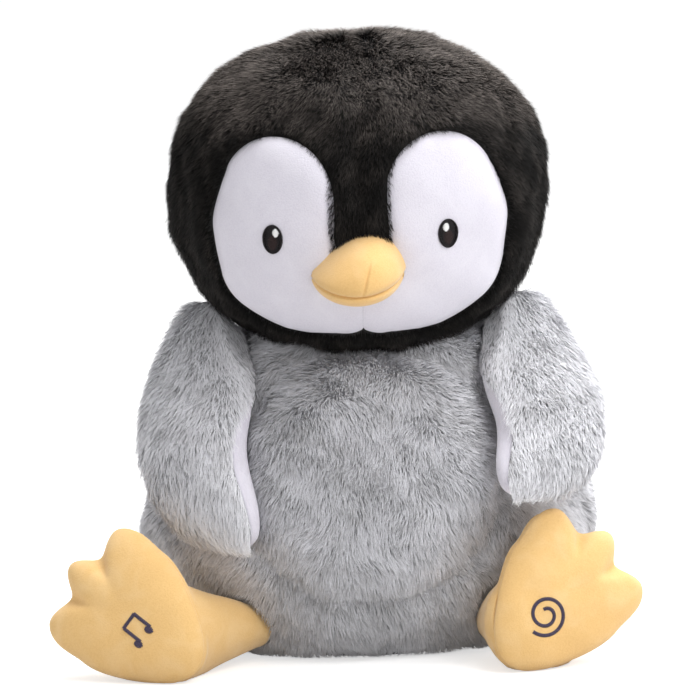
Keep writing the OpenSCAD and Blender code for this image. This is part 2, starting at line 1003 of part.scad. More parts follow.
module case_back() {
  color([0.16, 0.16, 0.18]) difference() {
    union() {
      intersection() {
        union() {
          case_shell();
          motor_rib();
        }
        back_space();
      }
      box([-case_w / 2 + 1, tray_y - tray_t, case_z + 1], [case_w / 2 - 1, tray_y, tray_top + tray_t]);
      box([-case_w / 2 + 1, tray_y - tray_t, tray_top],
        [case_w / 2 - 1, case_back_y - 1, tray_top + tray_t]);
      rod_y(post_r, 0, tray_y, case_back_y - case_wall - fix, door_screw_z);
      for (x = [-1, 1], z = [screw_low, screw_high])
        rod_y(post_r, x * screw_x, case_y + split_gap, case_back_y - 1, z);
    }
    case_holes();
    box([-door_w / 2 - fix, case_back_y - case_wall - fix, door_z - fix],
      [door_w / 2 + fix, far, door_top + fix]);
    box([-door_w / 2 + 1, tray_y, door_z + 1], [door_w / 2 - 1, far, tray_top]);
    rod_y(screw_r + run, 0, tray_y + 2, far, door_screw_z);
    for (x = [-1, 1], z = [screw_low, screw_high]) {
      rod_y(screw_r + run, x * screw_x, -far, far, z);
      rod_y(2 * screw_r + fix, x * screw_x, case_back_y - 2, far, z);
    }
    slider_way(2 * slider_room, case_back_y - case_wall - 1);
  }
}

// Room that the switch's slider moves in, from a depth outward
module slider_way(grow, from) {
  box([-(switch_travel + slider_w) / 2 - grow, from, switch_z - slider_h / 2 - slider_room],
    [(switch_travel + slider_w) / 2 + grow, far, switch_z + slider_h / 2 + slider_room]);
}

// Screw along Y with its head at the +Y end
module screw_y(x, from, to, z) {
  rod_y(screw_r, x, from, to - screw_head, z);
  rod_y(2 * screw_r, x, to - screw_head, to, z);
}

module case_screws() {
  color([0.65, 0.65, 0.67]) for (x = [-1, 1], z = [screw_low, screw_high])
    screw_y(x * screw_x, case_y - 13, case_back_y - 0.1, z);
}

module battery_door() {
  color([0.2, 0.2, 0.22]) difference() {
    box([-door_w / 2, case_back_y - case_wall, door_z], [door_w / 2, case_back_y, door_top]);
    rod_y(screw_r + run, 0, 0, far, door_screw_z);
    rod_y(2 * screw_r + fix, 0, case_back_y - 1, far, door_screw_z);
  }
}

module door_screw() {
  color([0.65, 0.65, 0.67]) screw_y(0, tray_y + 3, case_back_y + 0.8, door_screw_z);
}

module cells() {
  color([0.75, 0.55, 0.25]) for (i = [0 : 2]) {
    z = cell_z + i * cell_pitch;
    on_side(i % 2 == 0 ? 1 : -1) {
      rod_x(cell_r, -cell_l / 2, cell_l / 2 - cell_tip, cell_y, z);
      rod_x(cell_tip_r, cell_l / 2 - cell_tip, cell_l / 2, cell_y, z);
    }
  }
}

module cell_contacts() {
  color([0.75, 0.75, 0.78]) for (side = [-1, 1], i = [0 : 2]) on_side(side) {
    z = cell_z + i * cell_pitch;
    box([contact_x - contact_t / 2, cell_y - contact_w / 2, z - contact_w / 2],
      [contact_x + contact_t / 2, cell_y + contact_w / 2, z + contact_w / 2]);
    rod_x(cell_tip_r - 0.2, cell_l / 2 + 0.2, contact_x, cell_y, z);
  }
}

// Speaker: round frame with its magnet, and the cone inside the rim
module speaker_frame() {
  color([0.5, 0.5, 0.52]) translate([0, case_front_y + case_wall + fix, speaker_z]) rotate([-90, 0, 0])
    rotate_extrude($fn = 72) polygon([
      [0, 9], [0, 19], [11, 19], [11, 11], [14, 11], [speaker_r - 1.5, 3], [speaker_r, 3], [speaker_r, 0],
      [speaker_r - 2, 0], [speaker_r - 2, 1.2], [12.5, 9],
    ]);
}

module speaker_cone() {
  color([0.12, 0.12, 0.12]) translate([0, case_front_y + case_wall + fix, speaker_z]) rotate([-90, 0, 0])
    rotate_extrude($fn = 72) polygon([
      [0, 8.2], [12, 8.2], [speaker_r - 2.3, 0.6], [speaker_r - 2.3, 0.2], [12, 7.2], [5, 7.2], [0, 5.5],
    ]);
}

module circuit_board() {
  chip = [12, 1.5, 12];
  resistor = [5, 1.2, 3];
  capacitor_r = 2.5;
  color([0.1, 0.35, 0.2]) {
    box([-board_w / 2, board_y - board_t, case_z + 6], [board_w / 2, board_y, board_top]);
    translate([-chip.x / 2, board_y, case_z + 28]) cube(chip);
    translate([-16, board_y, case_z + 44]) cube(resistor);
    rod_y(capacitor_r, 14, board_y, board_y + 1.8, case_z + 50);
  }
}

module switch_body() {
  color([0.25, 0.25, 0.27]) difference() {
    box([-switch_w / 2, case_back_y - case_wall - fix - switch_d, switch_z - switch_h / 2],
      [switch_w / 2, case_back_y - case_wall - fix, switch_z + switch_h / 2]);
    slider_way(slider_room, case_back_y - case_wall - slider_w);
  }
}

module switch_slider() {
  middle = -switch_travel / 2;
  color([0.8, 0.8, 0.8])
    box([middle - slider_w / 2, case_back_y - case_wall - slider_w + slider_room, switch_z - slider_h / 2],
      [middle + slider_w / 2, case_back_y + 1.5, switch_z + slider_h / 2]);
}

// Gears

function involute(a) = tan(a) * 180 / PI - a;

// Half angle of a tooth at radius r, m being the module and n the number of teeth
function tooth_half(m, n, r) =
  let (pitch = m * n / 2, base = pitch * cos(press_angle))
  90 / n - play / pitch * 180 / PI + involute(press_angle) - (r > base ? involute(acos(base / r)) : 0);

function tooth(m, n, k) =
  let (low = [for (s = tooth_steps) let (r = m * (n / 2 + s)) [r, 360 * k / n, tooth_half(m, n, r)]])
  concat(
    [for (i = [0 : 3]) low[i][0] * [cos(low[i][1] - low[i][2]), sin(low[i][1] - low[i][2])]],
    [for (i = [3 : -1 : 0]) low[i][0] * [cos(low[i][1] + low[i][2]), sin(low[i][1] + low[i][2])]]
  );

// Toothed wheel about X, its first tooth turned to an angle from +Y towards +Z
module wheel(m, n, x, h, y, z, turn) {
  translate([x, y, z]) rotate([90, 0, 90]) rotate(turn) linear_extrude(h)
    polygon([for (k = [0 : n - 1]) each tooth(m, n, k)]);
}

// Part of a toothed wheel: a number of teeth each way from the first
module sector(m, n, x, h, y, z, turn, before, after) {
  translate([x, y, z]) rotate([90, 0, 90]) rotate(turn) linear_extrude(h)
    polygon(concat([[0, 0]], [for (k = [-before : after]) each tooth(m, n, k)]));
}

module wing_sector(side) {
  color([0.85, 0.83, 0.75]) on_side(side) difference() {
    union() {
      sector(wing_m, wing_teeth, sector_in, sector_h, axle_y, axle_z, mesh_1,
        1, ceil(wing_travel * wing_teeth / 360) + 1);
      rod_x(2 * axle_r, sector_in - 2, sector_in + sector_h + 2, axle_y, axle_z);
    }
    rod_x(axle_r + run, -1, far, axle_y, axle_z);
  }
}

module left_sector() {
  wing_sector(1);
}

module right_sector() {
  wing_sector(-1);
}

module wing_axle(side) {
  color([0.7, 0.7, 0.72]) on_side(side)
    rod_x(axle_r, fix, shoulder_x + hub_out - hub_cap - fix, axle_y, axle_z);
}

module left_axle() {
  wing_axle(1);
}

module right_axle() {
  wing_axle(-1);
}

module middle_gear() {
  color([0.9, 0.88, 0.8]) difference() {
    union() {
      wheel(wing_m, small_teeth, -sector_in - sector_h - 0.5, 2 * (sector_in + sector_h) + 1, mid_y, mid_z,
        mesh_1 + 180 + 180 / small_teeth);
      wheel(motor_m, big_teeth, big_in, big_h, mid_y, mid_z, -90);
    }
    rod_x(pin_r + run, -far, far, mid_y, mid_z);
  }
}

module middle_pin() {
  color([0.7, 0.7, 0.72]) rod_x(pin_r, -case_w / 2 + fix, case_w / 2 - fix, mid_y, mid_z);
}

module wing_motor() {
  color([0.6, 0.6, 0.62]) {
    rod_x(motor_r, -motor_out, -motor_in, motor_y, motor_z);
    rod_x(3 * shaft_r, -motor_in, -motor_in + 1.5, motor_y, motor_z);
    rod_x(shaft_r, -motor_in, big_in + big_h + 1, motor_y, motor_z);
  }
}

module motor_pinion() {
  color([0.9, 0.88, 0.8]) difference() {
    wheel(motor_m, small_teeth, big_in - 1, big_h + 2, motor_y, motor_z, 90 + 180 / small_teeth);
    rod_x(shaft_r + run, -far, far, motor_y, motor_z);
  }
}

// Neck and head frame

module neck_post() {
  color([0.2, 0.2, 0.22]) difference() {
    union() {
      translate([0, case_y, case_top + fix]) cylinder(r = neck_flange_r, h = neck_flange_t, $fn = 64);
      translate([0, case_y, case_top + fix])
        cylinder(r = neck_r, h = plate_z - case_top - 2 * fix, $fn = 64);
    }
    translate([0, case_y, 0]) cylinder(r = neck_r - neck_wall, h = far, $fn = 48);
    for (x = [-1, 1])
      translate([x * neck_screw_x, case_y, 0]) cylinder(r = screw_r + run, h = far, $fn = 32);
  }
}

module neck_screws() {
  color([0.65, 0.65, 0.67]) for (x = [-1, 1])
    translate([x * neck_screw_x, case_y, case_top + neck_flange_t + 2 * fix]) {
      translate([0, 0, -neck_screw_l]) cylinder(r = screw_r, h = neck_screw_l + fix, $fn = 32);
      cylinder(r = 2 * screw_r, h = screw_head, $fn = 32);
    }
}

module head_frame() {
  color([0.2, 0.2, 0.22]) difference() {
    union() {
      box([-plate_w / 2, jaw_y - 8, plate_z], [plate_w / 2, case_y + neck_r + 6, plate_z + plate_t]);
      for (side = [-1, 1]) on_side(side) {
        box([ear_x, jaw_y - ear_r, plate_z + 1], [ear_x + ear_t, jaw_y + ear_r, jaw_z]);
        rod_x(ear_r, ear_x, ear_x + ear_t, jaw_y, jaw_z);
      }
      box([-jaw_motor_out, jaw_motor_y - cradle_w / 2, plate_z + 1],
        [-2 * jaw_motor_in, jaw_motor_y + cradle_w / 2, jaw_z - 2]);
    }
    rod_x(pin_r + run, -far, far, jaw_y, jaw_z);
    rod_x(jaw_motor_r + fix, -far, 0, jaw_motor_y, jaw_z);
  }
}

// Flat bar that carries the lower beak, just under the mouth line
module lever_bar(grow) {
  translate([0, jaw_y, jaw_z]) rotate([beak_droop, 0, 0])
    box([-lever_w / 2 - grow, -lever_l - grow, -lever_drop - lever_t - grow],
      [lever_w / 2 + grow, 1, -lever_drop + grow]);
}

module jaw_lever() {
  color([0.8, 0.8, 0.78]) difference() {
    union() {
      lever_bar(0);
      rod_x(lever_drop + lever_t, -ear_x + seam, ear_x - seam, jaw_y, jaw_z);
      sector(motor_m, jaw_teeth, jaw_sector_x, jaw_sector_h, jaw_y, jaw_z, 0, 2, 2);
    }
    rod_x(pin_r + run, -far, far, jaw_y, jaw_z);
  }
}

module jaw_pin() {
  color([0.7, 0.7, 0.72]) rod_x(pin_r, -ear_x - ear_t, ear_x + ear_t, jaw_y, jaw_z);
}

module jaw_motor() {
  color([0.6, 0.6, 0.62]) {
    rod_x(jaw_motor_r, -jaw_motor_out, -jaw_motor_in, jaw_motor_y, jaw_z);
    rod_x(shaft_r, -jaw_motor_in, jaw_sector_x + jaw_sector_h + 1.5, jaw_motor_y, jaw_z);
  }
}

module jaw_pinion() {
  color([0.9, 0.88, 0.8]) difference() {
    wheel(motor_m, small_teeth, jaw_sector_x - 0.5, jaw_sector_h + 1, jaw_motor_y, jaw_z,
      180 + 180 / small_teeth);
    rod_x(shaft_r + run, -far, far, jaw_motor_y, jaw_z);
  }
}

body_skin();
body_stuffing();
seat_panel();
hook_tape();
loop_tape();
head_skin();
head_stuffing();
left_face();
right_face();
left_eye();
right_eye();
eye_glints();
upper_beak();
lower_beak();
left_wing_fur();
left_wing_lining();
right_wing_fur();
right_wing_lining();
left_sole();
left_instep();
right_sole();
right_instep();
case_front();
case_back();
case_screws();
battery_door();
door_screw();
cells();
cell_contacts();
speaker_frame();
speaker_cone();
circuit_board();
switch_body();
switch_slider();
wing_motor();
motor_pinion();
middle_gear();
middle_pin();
left_axle();
left_sector();
left_arm();
right_axle();
right_sector();
right_arm();
neck_post();
neck_screws();
head_frame();
jaw_lever();
jaw_pin();
jaw_motor();
jaw_pinion();
left_foot_switch();
left_foot_button();
left_foot_lead();
right_foot_switch();
right_foot_button();
right_foot_lead();
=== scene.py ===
"""Looks of a seated plush penguin: fur, velour, thread, and the drive inside it."""

import json
import math

import bmesh
import bpy
import numpy as np
from mathutils import Matrix, Vector
from mathutils.bvhtree import BVHTree
from mathutils.kdtree import KDTree


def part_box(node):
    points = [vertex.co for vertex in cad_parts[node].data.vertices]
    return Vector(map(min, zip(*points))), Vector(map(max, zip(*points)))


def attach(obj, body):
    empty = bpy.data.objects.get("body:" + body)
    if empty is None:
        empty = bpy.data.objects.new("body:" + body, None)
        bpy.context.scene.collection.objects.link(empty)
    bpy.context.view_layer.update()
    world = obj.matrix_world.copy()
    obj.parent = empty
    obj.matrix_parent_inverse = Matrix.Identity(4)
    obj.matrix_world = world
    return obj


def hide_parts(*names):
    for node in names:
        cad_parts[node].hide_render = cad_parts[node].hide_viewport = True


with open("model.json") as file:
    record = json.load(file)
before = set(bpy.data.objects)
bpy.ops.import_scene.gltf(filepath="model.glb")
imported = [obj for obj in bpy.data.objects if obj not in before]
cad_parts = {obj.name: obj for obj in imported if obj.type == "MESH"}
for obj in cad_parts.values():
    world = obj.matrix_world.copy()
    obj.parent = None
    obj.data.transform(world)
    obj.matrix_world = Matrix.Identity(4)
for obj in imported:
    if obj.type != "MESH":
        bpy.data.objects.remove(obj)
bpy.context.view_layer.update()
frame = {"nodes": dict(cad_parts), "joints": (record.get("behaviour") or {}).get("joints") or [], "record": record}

MM = 0.001
SIDES = {"left": 1, "right": -1}

# Sizes that the frame does not give, in metres

SEAM = 0.3 * MM
SWING_GAP = 0.9 * MM
BELLY_Z = 64 * MM
BELLY_SINK = 24 * MM
BODY_FULL = 2.1
HEAD_UP = 76 * MM
HEAD_DOWN = 84 * MM
HEAD_FULL = 2.2
FUR_BASE = 2 * MM
FLOOR_GAP = 0.3 * MM
FOOT_GAP = 0.4 * MM
FUR_PER_MM2 = 3.0
BODY_HAIR = 8.5 * MM
HEAD_HAIR = 7.5 * MM
WING_HAIR = 9 * MM

EYE_X = 41 * MM
EYE_DROP = 17 * MM
EYE_W = 9 * MM
EYE_H = 13.5 * MM
FACE_CHAIN = MM * np.array(
    [[39.5, 6.5, 24], [42.7, -11, 27.2], [41, -31.5, 25.5], [30, -42.5, 21.5], [9, -49.5, 16.5]])
FACE_SWELL = 1.8 * MM
PATCH_GROW = 2.2 * MM

MOUTH_DROP = 37 * MM
BEAK_W = 48 * MM
BEAK_LEN = 27 * MM
BEAK_ROOT = 8 * MM
BEAK_UP = 22 * MM
BEAK_DOWN = 11 * MM
BEAK_DROOP = math.radians(14)
BEAK_FULL = 2.2
BEAK_TAPER = 0.3
BEAK_SKEW = 7 * MM

WING_W = 69 * MM
WING_T = 29 * MM
WING_WRAP = 20
WING_TUCK = 40
WING_PLUMP = 0.8
WING_TURN = (40, 60)
WING_BLUNT = 0.34
WING_TOP = 0.8
WING_FULL = 0.5
WING_WAIST = (0.24, 0.6, 0.18)
WING_LINE = {
    "left": ((-13, 9, 28), (-6, -6, -2), (8, -57, -38), (-6, -68, -61)),
    "right": ((-13, 9, 28), (-9, -8, -2), (6, -54, -48), (-18, -52, -84)),
}

FOOT_L = 83 * MM
FOOT_W = 64 * MM
TOE_LEN = 8.5 * MM
TOE_PITCH = math.radians(42)
TOE_FLARE = 0.25
TOE_SPREAD = 0.6
SOLE_T = 11 * MM
INSTEP_T = 19 * MM
FOOT_BLUNT = 0.7
TOE_UP = {"left": 44, "right": 36}
SPIRAL_AT = (-12.6 * MM, 1.8 * MM)
NOTE_AT = (-7.2 * MM, -1 * MM)
ANKLE_R = 27 * MM
ANKLE_IN = 10 * MM
ANKLE_X = 58 * MM
ANKLE_Z = 17 * MM
ANKLE_FROM = (-13 * MM, 0, -12 * MM)


def corners(node):
    low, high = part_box(node)
    return np.array(low), np.array(high)


def joint_named(name):
    return next(j for j in frame["joints"] if j["name"] == name)


def unit(v):
    return v / np.maximum(np.linalg.norm(v, axis=-1, keepdims=True), 1e-12)


def smooth_step(low, high, v):
    t = np.clip((v - low) / (high - low), 0, 1)
    return t * t * (3 - 2 * t)


def round_steps(count):
    """Angles of even steps round a full turn."""
    return np.linspace(0, 2 * math.pi, count, endpoint=False)


def near_tree(points):
    """Tree that finds the nearest of the points."""
    tree = KDTree(len(points))
    for i, p in enumerate(points):
        tree.insert(p, i)
    tree.balance()
    return tree


def ripple(points, size, seed, waves=7):
    """Smooth random field over points, about -1 to 1, with lumps of about the given size."""
    rng = np.random.default_rng(seed)
    total = np.zeros(len(points))
    for _ in range(waves):
        way = unit(rng.normal(size=3)) * 2 * math.pi / size * rng.uniform(0.5, 1.3)
        total += np.sin(points @ way + rng.uniform(0, 2 * math.pi))
    return total / math.sqrt(waves)


def turned(points, pivot, angle):
    """Points turned about a line along X through pivot."""
    c, s = math.cos(angle), math.sin(angle)
    p = points - pivot
    return np.stack([p[:, 0], p[:, 1] * c - p[:, 2] * s, p[:, 1] * s + p[:, 2] * c], 1) + pivot


class Egg:
    """Rounded form with its own half heights above and below its middle."""

    def __init__(self, middle, width, depth, up, down, full):
        self.middle = np.array(middle, float)
        self.half = np.array([width / 2, depth / 2])
        self.up, self.down, self.full = up, down, full

    def heights(self, z):
        return np.where(z > self.middle[2], self.up, self.down)

    def share(self, z):
        h = np.abs(z - self.middle[2]) / self.heights(z)
        return np.maximum(0, 1 - h ** self.full) ** (1 / self.full)

    def front(self, x, z):
        inner = self.share(z) ** 2 - ((x - self.middle[0]) / self.half[0]) ** 2
        return self.middle[1] - self.half[1] * np.sqrt(np.maximum(0, inner))

    def side(self, y, z):
        inner = self.share(z) ** 2 - ((y - self.middle[1]) / self.half[1]) ** 2
        return self.half[0] * np.sqrt(np.maximum(0, inner))

    def level(self, p):
        """Below 1 inside, 1 on the surface, growing in step with the distance from the middle."""
        q = p - self.middle
        flat = np.sqrt((q[:, 0] / self.half[0]) ** 2 + (q[:, 1] / self.half[1]) ** 2)
        return (flat ** self.full + np.abs(q[:, 2] / self.heights(p[:, 2])) ** self.full) ** (1 / self.full)

    def normal(self, p):
        q = p - self.middle
        h = self.heights(p[:, 2])
        flat = np.sqrt((q[:, 0] / self.half[0]) ** 2 + (q[:, 1] / self.half[1]) ** 2)
        lift = np.maximum(flat, 1e-9) ** (self.full - 2)
        up = np.sign(q[:, 2]) * (np.abs(q[:, 2]) / h) ** (self.full - 1) / h
        return unit(np.stack([lift * q[:, 0] / self.half[0] ** 2, lift * q[:, 1] / self.half[1] ** 2, up], 1))

    def pushed_out(self, p, grow):
        """Points that lie inside, moved straight out to the surface grown by grow."""
        level = self.level(p - grow * self.normal(p))
        q = self.middle + (p - self.middle) / np.minimum(level, 1)[:, None]
        return np.where((level < 1)[:, None], q, p)

    def rings(self, low, high, count, sides):
        """Points of rings from height low to height high."""
        def steep(z):
            h = self.up if z > self.middle[2] else self.down
            rise = z - self.middle[2]
            return math.copysign(math.asin(min(1, (abs(rise) / h) ** (self.full / 2))), rise)
        a = np.linspace(steep(low), steep(high), count)[:, None]
        t = round_steps(sides)[None, :]
        r = np.maximum(np.cos(a), 0) ** (2 / self.full)
        z = np.where(a > 0, self.up, self.down) * np.sign(a) * np.abs(np.sin(a)) ** (2 / self.full)
        flat = np.stack([self.half[0] * r * np.cos(t), self.half[1] * r * np.sin(t), z + 0 * t], -1)
        return flat.reshape(-1, 3) + self.middle


def ring_faces(rows, cols):
    """Quads between rows of a closed tube, and the faces that close its ends."""
    i, j = np.meshgrid(np.arange(rows - 1), np.arange(cols), indexing="ij")
    k = (j + 1) % cols
    quads = np.stack([i * cols + j, i * cols + k, (i + 1) * cols + k, (i + 1) * cols + j], -1).reshape(-1, 4)
    faces = [tuple(q) for q in quads.tolist()]
    return faces + [tuple(range(cols - 1, -1, -1)), tuple(range((rows - 1) * cols, rows * cols))]


def placed(name, data):
    """New object in the scene."""
    thing = bpy.data.objects.new(name, data)
    bpy.context.scene.collection.objects.link(thing)
    return thing


def new_piece(name, points, faces, material):
    mesh = bpy.data.meshes.new(name)
    mesh.from_pydata([tuple(p) for p in np.asarray(points, float)], [], faces)
    mesh.validate()
    piece = placed(name, mesh)
    mesh.polygons.foreach_set("use_smooth", [True] * len(mesh.polygons))
    mesh.materials.append(material)
    outward(mesh)
    return piece


def outward(mesh):
    edit = bmesh.new()
    edit.from_mesh(mesh)
    bmesh.ops.recalc_face_normals(edit, faces=edit.faces)
    edit.to_mesh(mesh)
    edit.free()


def settle(piece, body, slot_name, *nodes, fill=None):
    """Rides a piece on its body and hides the CAD nodes that it stands for; the slot name of its finish is not used."""
    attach(piece, body)
    if nodes:
        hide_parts(*nodes)
    return piece


def tree_of(piece):
    mesh = piece.data
    return BVHTree.FromPolygons([v.co.copy() for v in mesh.vertices], [tuple(p.vertices) for p in mesh.polygons])


def lies_inside(tree, p):
    """Whether a point lies inside a closed mesh, by counting crossings upward."""
    at, count = Vector(p), 0
    up = Vector((0.0123, 0.0071, 1)).normalized()
    while count < 20:
        hit, _, _, _ = tree.ray_cast(at, up)
        if hit is None:
            break
        count += 1
        at = hit + up * 1e-6
    return count % 2 == 1


# The frame's main places

body_low, body_high = corners("body_skin")
head_low, head_high = corners("head_skin")
body_form = Egg((0, 0, BELLY_Z), body_high[0] - body_low[0], body_high[1] - body_low[1],
                body_high[2] - BELLY_Z, BELLY_Z + BELLY_SINK, BODY_FULL)
head_z = head_high[2] - HEAD_UP
head_form = Egg((0, (head_low[1] + head_high[1]) / 2, head_z), head_high[0] - head_low[0],
                head_high[1] - head_low[1], HEAD_UP, HEAD_DOWN, HEAD_FULL)
axle = np.array(joint_named("left_wing_swing")["pos_m"])
wing_travel = math.radians(joint_named("left_wing_swing")["range_deg"][1])
jaw_pin = np.array(joint_named("jaw_open")["pos_m"])
shoulder_x = float(body_form.side(axle[1], axle[2])) + SEAM
wing_root = np.array([shoulder_x + WING_T / 2, axle[1], axle[2]])
mouth = np.array([0, float(head_form.front(0.0, head_z - MOUTH_DROP)), head_z - MOUTH_DROP])


# Materials: shared effects first

def node_group(name, inputs, outputs):
    """Empty shader group with named sockets, given as (name, type, default)."""
    tree = bpy.data.node_groups.new(name, "ShaderNodeTree")
    for label, kind, default in inputs:
        socket = tree.interface.new_socket(label, in_out="INPUT", socket_type="NodeSocket" + kind)
        if default is not None:
            socket.default_value = default
    for label, kind in outputs:
        tree.interface.new_socket(label, in_out="OUTPUT", socket_type="NodeSocket" + kind)
    return tree, tree.nodes.new("NodeGroupInput"), tree.nodes.new("NodeGroupOutput")


def add(tree, kind, links=(), **values):
    """New node with properties and socket values set, and links made as (socket, source)."""
    node = tree.nodes.new("ShaderNode" + kind)
    for key, value in values.items():
        if hasattr(node, key):
            setattr(node, key, value)
        else:
            node.inputs[key.replace("_", " ")].default_value = value
    for socket, source in links:
        tree.links.new(source, node.inputs[socket])
    return node


def mixed(tree, factor, a, b):
    """Colour mix of a and b, each a socket or a colour."""
    node = tree.nodes.new("ShaderNodeMix")
    node.data_type = "RGBA"
    for socket, value in ((node.inputs[0], factor), (node.inputs[6], a), (node.inputs[7], b)):
        if isinstance(value, bpy.types.NodeSocket):
            tree.links.new(value, socket)
        elif isinstance(value, (int, float)):
            socket.default_value = value
        else:
            socket.default_value = (*value[:3], 1)
    return node.outputs[2]


def ramp(tree, source, stops, interpolation="LINEAR"):
    node = tree.nodes.new("ShaderNodeValToRGB")
    node.color_ramp.interpolation = interpolation
    elements = node.color_ramp.elements
    while len(elements) < len(stops):
        elements.new(0.5)
    for element, (place, value) in zip(elements, stops):
        element.position = place
        element.color = (*value, 1) if hasattr(value, "__len__") else (value, value, value, 1)
    tree.links.new(source, node.inputs[0])
    return node.outputs[0]


def pile_group():
    """Colour along a hair from the map of the pile: across it the hair's shade, up it root to tip."""
    tree, inside, outside = node_group("pile_colour", [
        ("Map", "Vector", None), ("Root", "Color", (0.1, 0.1, 0.1, 1)), ("Middle", "Color", (0.4, 0.4, 0.4, 1)),
        ("Tip", "Color", (0.8, 0.8, 0.8, 1)), ("Dark Hair", "Color", (0.1, 0.1, 0.1, 1)), ("Spread", "Float", 0.6),
    ], [("Color", "Color"), ("Roughness", "Float")])
    parts = add(tree, "SeparateXYZ", [("Vector", inside.outputs["Map"])])
    along = parts.outputs["Y"]
    low = ramp(tree, along, [(0.0, 0), (0.55, 1)], "EASE")
    high = ramp(tree, along, [(0.45, 0), (1.0, 1)], "EASE")
    colour = mixed(tree, low, inside.outputs["Root"], inside.outputs["Middle"])
    colour = mixed(tree, high, colour, inside.outputs["Tip"])
    # The mix towards the dark hair carries the coats' shade: the fur's own uneven tone, and in the body and head coats
    # painted shade and painted highlight too.
    shade = add(tree, "Math", [(0, parts.outputs["X"]), (1, inside.outputs["Spread"])], operation="MULTIPLY")
    colour = mixed(tree, shade.outputs[0], colour, inside.outputs["Dark Hair"])
    tree.links.new(colour, outside.inputs["Color"])
    rough = add(tree, "MapRange", [("Value", along)], To_Min=0.85, To_Max=0.55)
    tree.links.new(rough.outputs[0], outside.inputs["Roughness"])
    return tree


def velour_group():
    """Short nap: fine speckle, soft brushed patches and a height for bump."""
    tree, inside, outside = node_group("velour_nap", [
        ("Place", "Vector", None), ("Color", "Color", (0.8, 0.8, 0.8, 1)), ("Shadow", "Color", (0.5, 0.5, 0.5, 1)),
        ("Light", "Color", (0.9, 0.9, 0.9, 1)), ("Nap", "Float", 1400.0),
    ], [("Color", "Color"), ("Height", "Float"), ("Roughness", "Float")])
    fine = add(tree, "TexNoise", [("Vector", inside.outputs["Place"]), ("Scale", inside.outputs["Nap"])], Detail=3.0)
    brushed = add(tree, "TexNoise", [("Vector", inside.outputs["Place"])], Scale=70.0, Detail=4.0, Distortion=0.6)
    patches = add(tree, "TexNoise", [("Vector", inside.outputs["Place"])], Scale=22.0, Detail=2.0)
    colour = mixed(tree, ramp(tree, fine.outputs["Fac"], [(0.3, 0.45), (0.62, 0)]),
                   inside.outputs["Color"], inside.outputs["Shadow"])
    colour = mixed(tree, ramp(tree, brushed.outputs["Fac"], [(0.45, 0), (0.8, 0.5)]), colour, inside.outputs["Light"])
    colour = mixed(tree, ramp(tree, patches.outputs["Fac"], [(0.5, 0), (0.85, 0.3)]), colour, inside.outputs["Shadow"])
    tree.links.new(colour, outside.inputs["Color"])
    height = add(tree, "Math", [(0, fine.outputs["Fac"]), (1, brushed.outputs["Fac"])], operation="ADD")
    tree.links.new(height.outputs[0], outside.inputs["Height"])
    rough = add(tree, "MapRange", [("Value", fine.outputs["Fac"])], To_Min=0.75, To_Max=0.98)
    tree.links.new(rough.outputs[0], outside.inputs["Roughness"])
    return tree


def thread_group():
    """Twisted thread: slanting ply lines along the stitches."""
    tree, inside, outside = node_group("thread_twist", [
        ("Place", "Vector", None), ("Color", "Color", (0.1, 0.1, 0.1, 1)), ("Shine", "Color", (0.3, 0.3, 0.3, 1)),
    ], [("Color", "Color"), ("Height", "Float")])
    lines = add(tree, "TexWave", [("Vector", inside.outputs["Place"])], Scale=900.0, Distortion=3.0, Detail=2.0,
                bands_direction="DIAGONAL")
    speck = add(tree, "TexNoise", [("Vector", inside.outputs["Place"])], Scale=2500.0, Detail=2.0)
    part = add(tree, "Math", [(0, lines.outputs["Fac"]), (1, speck.outputs["Fac"])], operation="MULTIPLY")
    colour = mixed(tree, part.outputs[0], inside.outputs["Color"], inside.outputs["Shine"])
    tree.links.new(colour, outside.inputs["Color"])
    tree.links.new(lines.outputs["Fac"], outside.inputs["Height"])
    return tree


def grain_group():
    """Fine uneven grain for moulded, pressed and metal surfaces."""
    tree, inside, outside = node_group("surface_grain", [
        ("Place", "Vector", None), ("Color", "Color", (0.5, 0.5, 0.5, 1)), ("Worn", "Color", (0.7, 0.7, 0.7, 1)),
        ("Grain", "Float", 900.0), ("Rough", "Float", 0.5),
    ], [("Color", "Color"), ("Height", "Float"), ("Roughness", "Float")])
    fine = add(tree, "TexNoise", [("Vector", inside.outputs["Place"]), ("Scale", inside.outputs["Grain"])], Detail=4.0)
    wide = add(tree, "TexNoise", [("Vector", inside.outputs["Place"])], Scale=60.0, Detail=3.0)
    part = add(tree, "Math", [(0, fine.outputs["Fac"]), (1, wide.outputs["Fac"])], operation="MULTIPLY")
    colour = mixed(tree, part.outputs[0], inside.outputs["Color"], inside.outputs["Worn"])
    tree.links.new(colour, outside.inputs["Color"])
    tree.links.new(fine.outputs["Fac"], outside.inputs["Height"])
    rough = add(tree, "MapRange", [("Value", fine.outputs["Fac"])], To_Min=0.0, To_Max=0.25)
    total = add(tree, "Math", [(0, inside.outputs["Rough"]), (1, rough.outputs[0])], operation="ADD")
    tree.links.new(total.outputs[0], outside.inputs["Roughness"])
    return tree


GROUPS = {"pile": pile_group(), "velour": velour_group(), "thread": thread_group(), "grain": grain_group()}


def new_material(name, **shader):
    """Material with one shader, its constant sockets set directly."""
    material = bpy.data.materials.new(name)
    material.use_nodes = True
    tree = material.node_tree
    bsdf = tree.nodes["Principled BSDF"]
    for key, value in shader.items():
        bsdf.inputs[key.replace("_", " ")].default_value = value
    return material, tree, bsdf


def grouped(tree, which, place, **values):
    node = tree.nodes.new("ShaderNodeGroup")
    node.node_tree = GROUPS[which]
    tree.links.new(place, node.inputs[0])
    for key, value in values.items():
        socket = node.inputs[key.replace("_", " ")]
        socket.default_value = (*value, 1) if hasattr(value, "__len__") else value
    return node


